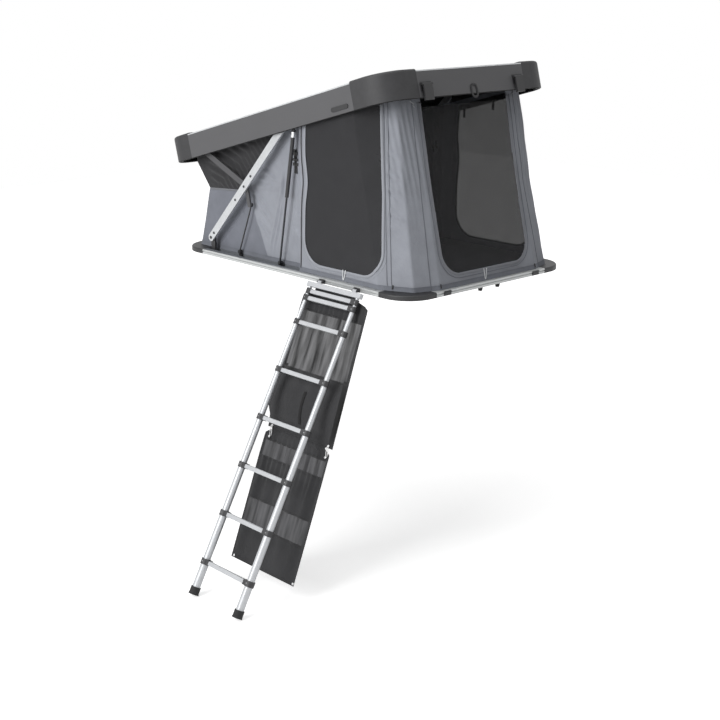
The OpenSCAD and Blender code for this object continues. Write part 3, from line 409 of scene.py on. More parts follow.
def window_line(grow, out):
    """Path round the rear window, down one side, along the sill and up the other, with its normals."""
    r, z0, ye = WINDOW["r"] + grow, WINDOW["z"] - grow, WINDOW["y"] + grow
    a = np.linspace(0, np.pi / 2, 24)
    down = np.linspace(1.062, z0 + r, 60)[:-1]
    flat = np.linspace(ye - r, 0, 24)[1:]
    y = np.concatenate([np.full_like(down, ye), ye - r + r * np.cos(a), flat])
    z = np.concatenate([down, z0 + r - r * np.sin(a), np.full_like(flat, z0)])
    half = wall(rear_place(y, z), z, 1, out)
    return [np.concatenate([part, part[-2::-1] * np.array([1, -1, 1])]) for part in half]


def turned(points, angle, at):
    """Turns points about X by an angle and moves them."""
    c, s = math.cos(angle), math.sin(angle)
    return np.asarray(points, float) @ np.array([[1, 0, 0], [0, c, s], [0, -s, c]]) + at


def in_ladder(points):
    """Moves points from the hanging ladder's frame to the row frame: a turn about X at the hinge pin."""
    return turned(points, LADDER_TURN, PIN)


def in_organiser(points):
    """Moves points from the organiser's frame to the row frame: a turn about X under the head bar."""
    return in_ladder(turned(points, ORGANISER_TURN, ORGANISER))


def on_lid(xl, y, w):
    """Moves points from the lid's frame to the row frame: along it, across it, up from its lower edge."""
    c, s = math.cos(LID_TILT), math.sin(LID_TILT)
    ahead, above = xl - LID_X, w - LID_W
    return stack(LID_C[0] + ahead * c + above * s, y, LID_C[1] - ahead * s + above * c)


# Meshes

def put_mesh(name, points, faces, uv=None, values=None):
    """Makes a smooth mesh object from arrays, with a UV map in metres and point values if given."""
    mesh = bpy.data.meshes.new(name)
    mesh.from_pydata(np.asarray(points, float).reshape(-1, 3).tolist(), [], [list(f) for f in faces])
    mesh.polygons.foreach_set("use_smooth", np.ones(len(mesh.polygons), bool))
    if uv is not None:
        loops = np.zeros(len(mesh.loops), np.int32)
        mesh.loops.foreach_get("vertex_index", loops)
        layer = mesh.uv_layers.new(name="UVMap")
        layer.data.foreach_set("uv", np.asarray(uv, float).reshape(-1, 2)[loops].ravel())
    for key, value in (values or {}).items():
        mesh.attributes.new(key, "FLOAT", "POINT").data.foreach_set("value", np.asarray(value, float).ravel())
    mesh.update()
    made = bpy.data.objects.new(name, mesh)
    bpy.context.scene.collection.objects.link(made)
    return made


def grid_faces(rows, columns, wrap=False, flip=False):
    """Quads of a grid, row by row, closed round the columns where wrap is set."""
    i, j = np.meshgrid(np.arange(rows - 1), np.arange(columns if wrap else columns - 1), indexing="ij")
    n = (j + 1) % columns
    here, above = i * columns, (i + 1) * columns
    quads = stack(here + j, here + n, above + n, above + j).reshape(-1, 4)
    return quads[:, ::-1] if flip else quads


def put_grid(name, points, uv=None, wrap=False, flip=False, keep=None, values=None):
    """Makes a sheet from a grid of points; keep tells which quads stay, and unused points go."""
    faces = grid_faces(*points.shape[:2], wrap, flip)
    used = slice(None)
    if keep is not None:
        used, faces = np.unique(faces[keep.ravel()], return_inverse=True)
        faces = faces.reshape(-1, 4)
    uv = None if uv is None else uv.reshape(-1, 2)[used]
    values = {key: value.ravel()[used] for key, value in (values or {}).items()}
    return put_mesh(name, points.reshape(-1, 3)[used], faces, uv, values)


def sweep(path, across, normal, profile):
    """Carries a closed profile, given as offsets across and along the normal, along a path."""
    return path[:, None] + profile[None, :, :1] * across[:, None] + profile[None, :, 1:] * normal[:, None]


def put_sweep(name, path, normal, profile):
    """A closed bar along a path: the profile swept, with both ends capped."""
    along = unit(np.gradient(path, axis=0))
    across = unit(np.cross(normal, along))
    points = sweep(path, across, np.cross(along, across), profile)
    n, m = points.shape[:2]
    faces = grid_faces(n, m, wrap=True, flip=True).tolist()
    faces += [list(range(m)), list(range(n * m - 1, n * m - m - 1, -1))]
    run = np.concatenate([[0], np.cumsum(np.linalg.norm(np.diff(path, axis=0), axis=1))])
    return put_mesh(name, points, faces, stack(profile[None, :, 0], run[:, None]))


def flat_bar(width, thick, rise=0.0):
    """Profile of a strap: a rectangle with cut corners, its foot at rise on the normal."""
    w, b = width / 2, min(width, thick) * 0.3
    return np.array([
        (-w + b, rise), (w - b, rise), (w, rise + b), (w, rise + thick - b),
        (w - b, rise + thick), (-w + b, rise + thick), (-w, rise + thick - b), (-w, rise + b),
    ])


def round_bar(radius, sides=10):
    """Profile of a wire: points on a circle."""
    a = np.arange(sides) * 2 * np.pi / sides
    return radius * stack(np.cos(a), np.sin(a))


def put_discs(name, centres, axis, radius, height, sides=16):
    """Domed heads: rings of a low dome on each centre along the axis, closed at the top and the foot."""
    rings = np.array([(1.0, 0.0), (1.0, 0.45), (0.86, 0.8), (0.5, 1.0), (0.2, 0.86)])
    a = np.arange(sides) * 2 * np.pi / sides
    axis = unit(axis)
    u = unit(np.cross(axis, (0.31, 0.2, 0.93)))
    spokes = np.cos(a)[:, None] * u + np.sin(a)[:, None] * np.cross(axis, u)
    dome = rings[:, 0, None, None] * radius * spokes + rings[:, 1, None, None] * height * axis
    points = np.asarray(centres)[:, None, None] + dome
    first = np.arange(len(points))[:, None, None] * len(rings) * sides
    foot, top = np.arange(sides)[::-1], np.arange(sides) + (len(rings) - 1) * sides
    quads = (grid_faces(len(rings), sides, wrap=True) + first).reshape(-1, 4)
    caps = (np.array([foot, top]) + first).reshape(-1, sides)
    return put_mesh(name, points, quads.tolist() + caps.tolist())


def dress(material, *nodes):
    """Gives CAD nodes a finish."""
    for name in nodes:
        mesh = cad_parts[name].data
        mesh.materials.clear()
        mesh.materials.append(material)


def place(made, body, materials, node=None):
    """Gives a new piece its finishes, the body that it rides on and the node that it replaces."""
    for material in materials:
        made.data.materials.append(material)
    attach(made, body)
    if node:
        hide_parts(node)


def place_on_wall(made, material, node=None):
    """A wall piece rides on the base, with a mesh of its own. Gives the piece's area."""
    place(made, "base", [material], node)
    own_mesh(made)
    return sum(poly.area for poly in made.data.polygons)


def put_tape(name, line, profile, material):
    """A tape, strap or zip on the walls, along a path that is given with its normals."""
    place_on_wall(put_sweep(name, *line, profile), material)


# Finishes

# Scale of the wave texture that draws bands 1 m apart
WAVE_SCALE = 0.314


def add(tree, kind, sockets=None, **settings):
    """Adds a node, sets its settings, and gives each named socket a value or a link."""
    made = tree.nodes.new(kind)
    for key, value in settings.items():
        setattr(made, key, value)
    for key, value in (sockets or {}).items():
        if isinstance(value, bpy.types.NodeSocket):
            tree.links.new(value, made.inputs[key])
        else:
            socket = made.inputs[key]
            socket.default_value = value[:3] if socket.type == "VECTOR" else value
    return made


def finish(name, **sockets):
    """Starts a material: one Principled shader with these plain values, and its tree."""
    material = bpy.data.materials.new(name)
    material.use_nodes = True
    tree = material.node_tree
    shader = tree.nodes["Principled BSDF"]
    for key, value in sockets.items():
        shader.inputs[key.replace("_", " ")].default_value = value
    return material, tree, shader


def shade(tree, shader, colour, value, source, target):
    """The base colour of a finish: its colour times a level, which a value carries from range to range."""
    level = add(tree, "ShaderNodeMapRange", {
        "Value": value, "From Min": source[0], "From Max": source[1],
        "To Min": target[0], "To Max": target[1]})
    tone = add(tree, "ShaderNodeVectorMath", {0: colour, 1: level.outputs["Result"]}, operation="MULTIPLY")
    tree.links.new(tone.outputs["Vector"], shader.inputs["Base Color"])


def tent_cloth(name, colour, painted_shade_colour=None, rib=0.006):
    """Coated poly-cotton, woven with a rip-stop rib: matt, a little fuzzy at grazing light, with
    soft blotches where it creases. The thread is 0.5 mm, too fine to show, so the 6 mm rib is drawn."""
    material, tree, shader = finish(name, Roughness=0.86, Sheen_Weight=0.12, Sheen_Roughness=0.5)
    flat = add(tree, "ShaderNodeUVMap").outputs["UV"]
    where = add(tree, "ShaderNodeTexCoord").outputs["Object"]
    tone = colour
    # painted shade: where the foot attribute is 1 the wall takes a darker colour that stands for shade
    if painted_shade_colour is not None:
        share = add(tree, "ShaderNodeAttribute", attribute_name="foot").outputs["Fac"]
        tone = add(tree, "ShaderNodeMix", {0: share, 6: colour, 7: painted_shade_colour}, data_type="RGBA").outputs[2]
    # blotches 90 mm wide, creases 25 mm wide
    blotch = add(tree, "ShaderNodeTexNoise", {"Vector": where, "Scale": 11.0, "Detail": 4.0})
    shade(tree, shader, tone, blotch.outputs["Fac"], (0.3, 0.7), (0.92, 1.05))
    crease = add(tree, "ShaderNodeTexNoise", {"Vector": where, "Scale": 40.0, "Detail": 5.0})
    low = add(tree, "ShaderNodeBump", {"Height": crease.outputs["Fac"], "Strength": 0.35, "Distance": 0.006})
    ribs = {"Vector": flat, "Scale": WAVE_SCALE / rib, "Distortion": 0.4, "Detail": 1.0}
    warp = add(tree, "ShaderNodeTexWave", ribs)
    weft = add(tree, "ShaderNodeTexWave", ribs, bands_direction="Y")
    weave = add(tree, "ShaderNodeMath", {0: warp.outputs["Fac"], 1: weft.outputs["Fac"]}, operation="MAXIMUM")
    high = add(tree, "ShaderNodeBump", {
        "Height": weave.outputs["Value"], "Normal": low.outputs["Normal"],
        "Strength": 0.18, "Distance": 0.0008})
    tree.links.new(high.outputs["Normal"], shader.inputs["Normal"])
    return material


def insect_net(name, colour, cover, stretch=(9, 9, 1), depth=0.2):
    """Black polyester insect net: dull dark threads; its 1.2 mm holes are too fine to draw, so an even
    cover stands for them. Folds, so many to a metre, are painted lighter and darker up to depth, as painted
    shade and painted highlight on folds that are not modelled, and the darker ones cover more."""
    material, tree, shader = finish(name, Roughness=0.75, Alpha=cover, Specular_IOR_Level=0.2)
    flat = add(tree, "ShaderNodeUVMap").outputs["UV"]
    hung = add(tree, "ShaderNodeMapping", {"Vector": flat, "Scale": stretch})
    folds = add(tree, "ShaderNodeTexNoise", {"Vector": hung.outputs["Vector"], "Scale": 1.0, "Detail": 4.0})
    # painted shade and painted highlight: the fold noise makes the net lighter and darker
    shade(tree, shader, colour, folds.outputs["Fac"], (0.3, 0.7), (1 - depth, 1 + depth))
    more = (1 - cover) * depth
    veil = add(tree, "ShaderNodeMapRange", {
        "Value": folds.outputs["Fac"], "From Min": 0.3, "From Max": 0.7,
        "To Min": cover + more, "To Max": cover - more})
    tree.links.new(veil.outputs["Result"], shader.inputs["Alpha"])
    # drawn as 5 mm cells, about four times the real ones
    cells = add(tree, "ShaderNodeTexVoronoi", {"Vector": flat, "Scale": 200.0, "Randomness": 0.25})
    bump = add(tree, "ShaderNodeBump", {
        "Height": cells.outputs["Distance"], "Strength": 0.3, "Distance": 0.001})
    tree.links.new(bump.outputs["Normal"], shader.inputs["Normal"])
    return material


def brushed_aluminium(name, colour, rough, stretch):
    """Anodised aluminium, extruded and brushed along its length: soft satin streaks, 0.2 mm wide and
    drawn at 2 mm. The cloudy oxide layer scatters part of the light, so it is not all mirror."""
    material, tree, shader = finish(name, Metallic=0.45, Roughness=rough)
    where = add(tree, "ShaderNodeTexCoord").outputs["Object"]
    along = add(tree, "ShaderNodeMapping", {"Vector": where, "Scale": stretch})
    streak = add(tree, "ShaderNodeTexNoise", {"Vector": along.outputs["Vector"], "Scale": 1.0, "Detail": 3.0})
    shade(tree, shader, colour, streak.outputs["Fac"], (0.25, 0.75), (0.93, 1.05))
    # scuffs some 60 mm wide
    scuff = add(tree, "ShaderNodeTexNoise", {"Vector": where, "Scale": 16.0, "Detail": 6.0})
    worn = add(tree, "ShaderNodeMapRange", {
        "Value": scuff.outputs["Fac"], "From Min": 0.35, "From Max": 0.75,
        "To Min": rough - 0.05, "To Max": rough + 0.12})
    tree.links.new(worn.outputs["Result"], shader.inputs["Roughness"])
    bump = add(tree, "ShaderNodeBump", {"Height": streak.outputs["Fac"], "Strength": 0.06, "Distance": 0.001})
    tree.links.new(bump.outputs["Normal"], shader.inputs["Normal"])
    return material


def powder_coat(name, colour, rough):
    """Powder-coated aluminium: an even matt coat with a fine orange peel, 1 mm wide and drawn at 4 mm."""
    material, tree, shader = finish(name, Roughness=rough, IOR=1.5)
    where = add(tree, "ShaderNodeTexCoord").outputs["Object"]
    peel = add(tree, "ShaderNodeTexNoise", {"Vector": where, "Scale": 250.0, "Detail": 2.0})
    dust = add(tree, "ShaderNodeTexNoise", {"Vector": where, "Scale": 6.0, "Detail": 6.0})
    shade(tree, shader, colour, dust.outputs["Fac"], (0.3, 0.75), (0.95, 1.06))
    worn = add(tree, "ShaderNodeMapRange", {
        "Value": dust.outputs["Fac"], "From Min": 0.3, "From Max": 0.75,
        "To Min": rough - 0.06, "To Max": rough + 0.08})
    tree.links.new(worn.outputs["Result"], shader.inputs["Roughness"])
    bump = add(tree, "ShaderNodeBump", {"Height": peel.outputs["Fac"], "Strength": 0.08, "Distance": 0.001})
    tree.links.new(bump.outputs["Normal"], shader.inputs["Normal"])
    return material


def moulded_nylon(name, colour, rough=0.5):
    """Glass-filled nylon, injection moulded with a spark-eroded grain: dull black, paler where it is
    rubbed. Grain 0.5 mm, drawn at 2.5 mm."""
    material, tree, shader = finish(name, Roughness=rough, IOR=1.53)
    where = add(tree, "ShaderNodeTexCoord").outputs["Object"]
    grain = add(tree, "ShaderNodeTexVoronoi", {"Vector": where, "Scale": 400.0})
    rub = add(tree, "ShaderNodeTexNoise", {"Vector": where, "Scale": 20.0, "Detail": 6.0})
    shade(tree, shader, colour, rub.outputs["Fac"], (0.35, 0.75), (0.9, 1.25))
    bump = add(tree, "ShaderNodeBump", {
        "Height": grain.outputs["Distance"], "Strength": 0.12, "Distance": 0.0006})
    tree.links.new(bump.outputs["Normal"], shader.inputs["Normal"])
    return material


def steel(name, colour, rough):
    """Drawn steel rod: bright, with faint rings from the drawing die, drawn at 3 mm."""
    material, tree, shader = finish(name, Metallic=1.0, Roughness=rough)
    where = add(tree, "ShaderNodeTexCoord").outputs["Object"]
    rings = add(tree, "ShaderNodeTexNoise", {"Vector": where, "Scale": 330.0, "Detail": 2.0})
    shade(tree, shader, colour, rings.outputs["Fac"], (0.3, 0.7), (0.9, 1.05))
    return material


def webbing(name, colour, pitch):
    """Woven strap, tape or zip: bars across its length, as far apart as pitch, and a dull sheen."""
    material, tree, shader = finish(name, Roughness=0.8, Sheen_Weight=0.15)
    flat = add(tree, "ShaderNodeUVMap").outputs["UV"]
    bars = add(tree, "ShaderNodeTexWave", {
        "Vector": flat, "Scale": WAVE_SCALE / pitch, "Distortion": 0.3}, bands_direction="Y")
    shade(tree, shader, colour, bars.outputs["Fac"], (0.0, 1.0), (0.82, 1.1))
    bump = add(tree, "ShaderNodeBump", {"Height": bars.outputs["Fac"], "Strength": 0.3, "Distance": 0.0008})
    tree.links.new(bump.outputs["Normal"], shader.inputs["Normal"])
    return material


# Pieces

class TENT_OT_canvas(bpy.types.Operator):
    """Grey walls: a loop of wall points from the base to the lid, open at the doors, window and gusset"""

    bl_idname = "tent.canvas"
    bl_label = "Walls"

    def execute(self, context):
        colours = context.scene.tent_colours
        p = half_columns([26, 44, 74, 10, 160, 8, 16])
        v = np.linspace(0, 1, 136)[:, None]
        points = whole_round(p, CLOTH_Z + (wall_top(p, LID_LAP) - CLOTH_Z) * v)
        # painted shade: foot is 1 beyond the ridge at the foot, where the wall cloth is painted darker as
        # shade
        foot = smooth(-0.006, 0.006, points[..., 0] - np.interp(points[..., 2], RIDGE_Z[:-1], RIDGE_X[:-1]))
        # the middle of each quad tells whether it lies in an opening
        pairs = points + np.roll(points, -1, axis=1)
        x, y, z = np.moveaxis((pairs[:-1] + pairs[1:]) / 4, -1, 0)
        rear_edge, front_edge = door_edges(z)
        below_lid = z < lid_z(x, 0.02)
        door = (x > rear_edge) & (x < front_edge) & (z > DOOR["z"]) & below_lid & (np.abs(y) > 0.45)
        window = (np.abs(y) < window_edge(z)) & (z > WINDOW["z"]) & (x < -0.5) & below_lid
        # behind the gusset the wall goes on 20 mm ahead of its edge and 45 mm above the fold
        gusset = (z > FOLD_Z + 0.045) & (x > arm_edge(z) + 0.02)
        keep = ~(door | window | gusset)
        made = put_grid("wall_cloth", points, round_uv(points), wrap=True, keep=keep, values={"foot": foot})
        cloth = tent_cloth("polycotton_wall", tuple(colours.wall), tuple(colours.wall_painted_shade))
        area = place_on_wall(made, cloth, "canvas")
        return {"FINISHED"}


class TENT_OT_gusset(bpy.types.Operator):
    """Charcoal gusset: wall points from the slanted edge round the foot, from the hem to the lid"""

    bl_idname = "tent.gusset"
    bl_label = "Foot gusset"

    def execute(self, context):
        colours = context.scene.tent_colours
        start = STEP_X + STEP_RUN

        def edge_x(z):
            """The slanted edge, which stops 10 mm ahead of the step."""
            return max(arm_edge(z), start + 0.01)

        def place_of(x, z):
            """The wall parameter of a point on the side at the foot."""
            return 4 + (x - start) / (np.interp(z, FOOT_Z, FOOT_X) - FOOT_R - start)

        def hem_z(q):
            """The lower edge, which rises from the foot corner to the arm."""
            return FOLD_Z + HEM_RISE * np.clip((5 - q) / (5 - low), 0, 1)

        z_high, z_low = 0.9, FOLD_Z + HEM_RISE
        for _ in range(20):
            z_high = lid_z(edge_x(z_high), LID_LAP)
        low, high = place_of(arm_edge(z_low), z_low), place_of(edge_x(z_high), z_high)
        # columns from the edge to the middle of the foot, with more than half of them on the side
        c = np.concatenate([np.linspace(0, 0.55, 60), np.linspace(0.56, 1, 40)])
        p_low, p_high = (np.interp(c, [0, 0.55, 0.7, 1], [first, 5, 6, 7]) for first in (low, high))
        v = np.linspace(0, 1, 110)[:, None]
        p = p_low + (p_high - p_low) * v
        z = hem_z(p_low) + (wall_top(p_high, LID_LAP) - hem_z(p_low)) * v
        near, far = (wall(p, z, side, 0.0016)[0] for side, _ in SIDES)
        points = np.concatenate([near, far[:, -2::-1]], axis=1)
        # folds that fall from the foot to the arm, steeper below the brace; they only stand outwards
        gx, gz = points[..., 0], points[..., 2]
        bent = 0.9 * np.sin(11 * gx + 5 * gz)
        flat_set = np.sin(2 * np.pi * (gz - 0.25 * gx) / 0.052 + bent)
        steep_set = np.sin(2 * np.pi * (0.7 * gz - 0.7 * gx) / 0.040 + bent)
        above = smooth(-0.05, 0.05, gz - 0.47 + 0.83 * (gx - 0.72))
        wave = 0.0045 * (1 + flat_set) * above + 0.0022 * (1 + steep_set) * (1 - above)
        wave = wave * smooth(0.0, 0.04, gz - FOLD_Z) * smooth(0.52, 0.40, np.concatenate([c, c[-2::-1]]))
        points[..., 1] += np.sign(points[..., 1]) * wave
        # each half is some 1.4 m wide when flat
        uv = stack(np.concatenate([c, 2 - c[-2::-1]]) * 1.4, gz)
        made = put_grid("gusset_cloth", points, uv)
        cloth = tent_cloth("polycotton_charcoal", tuple(colours.gusset))
        area = place_on_wall(made, cloth, "front_gusset")
        # hem along the lower edge
        hem = webbing("hem_tape", linear(0x7A7C81), 0.005)
        q = np.linspace(low, 5.0, 60)
        for side, word in SIDES:
            line = [part[::side] for part in wall(q, hem_z(q) - 0.004, side, 0.0026)]
            put_tape(f"gusset_hem_{word}", line, flat_bar(0.012, 0.0016), hem)
        return {"FINISHED"}


class TENT_OT_skirt(bpy.types.Operator):
    """Skirt: a low band of wall points outside the walls, flaring a little, with a rolled hem"""

    bl_idname = "tent.skirt"
    bl_label = "Skirt"

    def execute(self, context):
        colours = context.scene.tent_colours
        p = half_columns([40, 30, 90, 10, 100, 8, 30])
        v = np.linspace(0, 1, 12)[:, None]
        points = whole_round(p, CLOTH_Z + 0.001 + 0.027 * v)
        x, y = points[..., 0], points[..., 1]
        flare = 0.0022 + 0.002 * (1 - v) ** 2 + 0.0016 * bell(v - 0.93, 0.07)
        out = flare + 0.0012 * np.sin(40 * x + 3 * np.sin(9 * y)) * v
        end, side = np.where(np.abs(y) < 0.42, 1, 0.2), smooth(0.3, 0.5, np.abs(y))
        points = points + stack(x / np.hypot(x, y) * out * end, np.sign(y) * out * side, 0)
        made = put_grid("skirt_cloth", points, round_uv(points), wrap=True)
        area = place_on_wall(made, tent_cloth("polycotton_skirt", tuple(colours.skirt)), "skirt")
        return {"FINISHED"}


class TENT_OT_nets(bpy.types.Operator):
    """Door and window nets: wall points between the opening's edges, a little behind the walls"""

    bl_idname = "tent.nets"
    bl_label = "Nets"

    def execute(self, context):
        door_net = insect_net("polyester_net_door", linear(0x3B3B3D), 0.86, depth=0.06)
        window_net = insect_net("polyester_net_window", linear(0x2E2E2F), 0.68, depth=0.06)
        v = np.linspace(0, 1, 72)[:, None]
        for side, word in SIDES:
            u = np.linspace(0, 1, 64)[None]
            low = DOOR["z"] - NET_SILL
            # the top follows the lid over the door's 0.657 m
            z = low + (lid_z(DOOR["x1"] - 0.657 * (1 - u), LID_W) - low) * v
            rear, front = door_edges(z, NET_LAP)
            x = rear + (front - rear) * u
            z = np.minimum(z, lid_z(x, LID_W))
            points, _ = wall(side_place(x, z), z, side, NET_OUT)
            made = put_grid(f"door_net_{word}", points, stack(x, z), flip=side < 0)
            area = place_on_wall(made, door_net, "door_meshes")
        u = np.linspace(-1, 1, 72)[None]
        z = WINDOW["z"] - NET_SILL + (1.04 - WINDOW["z"]) * v + 0 * u
        y = window_edge(z, NET_LAP) * u
        points, _ = wall(rear_place(np.abs(y), z), z, 1, NET_OUT)
        points[..., 1] = y
        made = put_grid("window_net", points, stack(y, z))
        area = place_on_wall(made, window_net, "window_mesh")
        return {"FINISHED"}


class TENT_OT_bindings(bpy.types.Operator):
    """Bindings, zips and sewn seams: flat tapes carried along lines on the walls"""

    bl_idname = "tent.bindings"
    bl_label = "Bindings and zips"

    def execute(self, context):
        sizes = context.scene.tent_sizes
        tape = webbing("binding_tape", linear(0x9EA1A8), 0.006)
        coil = webbing("nylon_zip", linear(0x3A3A3D), 0.004)
        seam = webbing("seam_tape", linear(0x74767D), 0.006)
        binding, stitched = flat_bar(sizes.tape, 0.0022), flat_bar(sizes.zip * 0.5, 0.0006)
        for side, word in SIDES:
            put_tape(f"door_binding_{word}", door_line(0.004, side, 0.0008), binding, tape)
            put_tape(f"door_zip_{word}", door_line(0.026, side, 0.0004), stitched, tape)
            # zip up the front of the side, from the base to the lid
            z = np.linspace(0.05, lid_z(STEP_X - 0.006, 0.01), 90)
            line = wall(side_place(STEP_X - 0.008 - 0.7 * door_bulge(z), z), z, side, 0.001)
            put_tape(f"side_zip_{word}", line, flat_bar(sizes.zip, 0.003), coil)
            # seams up the rear corner, from one place on the wall to another
            for part, low, high in (("a", 1.84, 1.50), ("b", 1.15, 1.055), ("c", 1.77, 1.44)):
                z = np.linspace(CLOTH_Z + 0.01, wall_top(np.array([high]), 0.02)[0], 90)
                line = wall(np.interp(z, SEAM_Z, [low, high]), z, side, 0.0006)
                put_tape(f"corner_seam_{part}_{word}", line, flat_bar(0.005, 0.0016), seam)
        # painted shade: a darker copy of the binding tape for the rear window, whose face stands in shade
        painted_shade_rear_tape = webbing("binding_tape_rear", linear(0x8A8C93), 0.006)
        put_tape("window_binding", window_line(0.004, 0.0008), binding, painted_shade_rear_tape)
        put_tape("window_zip", window_line(0.024, 0.0012), flat_bar(sizes.zip * 0.6, 0.002), seam)
        return {"FINISHED"}


class TENT_OT_mattress(bpy.types.Operator):
    """Mattress: a closed pad whose top crowns between sewn rows and whose sides pull in"""

    bl_idname = "tent.mattress"
    bl_label = "Mattress"

    def execute(self, context):
        sizes = context.scene.tent_sizes
        low, high = (np.array(corner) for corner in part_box("mattress"))
        mid, half = (low + high) / 2, (high - low) / 2
        # rounded outline: a superellipse, squarer along its length
        a = np.linspace(0, 2 * np.pi, 160, endpoint=False)
        ox, oy = (np.sign(part) * np.abs(part) ** 0.22 for part in (np.cos(a), np.sin(a)))
        # rings from the middle of the underside, round the edge, to the middle of the top
        flat, edge = np.linspace(0.02, 0.96, 26), 1 - 0.02 * np.cos(np.linspace(0, np.pi, 9)) ** 2
        share = np.concatenate([flat, edge, flat[::-1]])[:, None]
        lift = np.concatenate([np.full(26, -1.0), np.linspace(-0.92, 0.92, 9), np.full(26, 1.0)])[:, None]
        x = mid[0] + half[0] * 0.985 * share * ox
        y = mid[1] + half[1] * 0.985 * share * oy
        rows = np.abs(np.sin(sizes.pad_rows * np.pi * (x - low[0]) / (2 * half[0])))
        top = np.where(lift > 0.99, -sizes.pad_crown * (1 - rows ** 0.5) - 0.004 * share ** 6, 0)
        points = stack(x, y, mid[2] + half[2] * 0.99 * lift + top)
        n, m = points.shape[:2]
        caps = [list(range(m))[::-1], list(range(n * m - m, n * m))]
        made = put_mesh("mattress_pad", points, grid_faces(n, m, wrap=True).tolist() + caps, stack(x, y))
        place(made, "base", [tent_cloth("cotton_ticking", linear(0x6E7076), rib=0.01)], "mattress")
        return {"FINISHED"}


def hang(u, v, panel):
    """Organiser cloth: a narrow head that widens below it, folds as a sine across, deepest halfway down,
    with finer gathers near the top. Below its net the upper cloth is a deep pocket: its face stands
    forward as a bell down its length, the outer strips of the sheet run straight back from it, and its
    front edge draws in towards the foot."""
    gather = bpy.context.scene.tent_sizes.gather
    back, (head_long, head_wide), long = panel["back"], panel["head"], panel["long"]
    deep = np.sin(np.pi * np.clip((v - POCKET_V) / (1 - POCKET_V), 0, 1)) * (back > 0)
    front = np.clip((u - STRIP_U) / (1 - 2 * STRIP_U), 0, 1)
    full = panel["wide"] - 4 * back * (1 - v)
    wide = head_wide + (full - head_wide) * smooth(head_long * 0.6, head_long * 1.2, v * long)
    x = (u + (front - u) * deep - 0.5) * wide - 0.03 * u * smooth(0.8, 1.0, v) * (back > 0)
    fold = np.sin(2 * np.pi * 5 * (u + panel["phase"])) * np.sin(np.pi * v)
    fine = 0.35 * np.sin(2 * np.pi * 13 * u + 2 * np.sin(6 * v)) * np.sin(np.pi * np.clip(v * 2.2, 0, 1))
    edge = np.clip(1 - np.minimum(u, 1 - u) / STRIP_U, 0, 1)
    depth = back * (smooth(0, 0.09, v) - 3.3 * deep * (1 - edge))
    y = gather * (0.7 * fold + fine) * (1 - 0.6 * deep) - 0.003 - depth
    return in_organiser(stack(x, y, -long * v) + panel["at"])


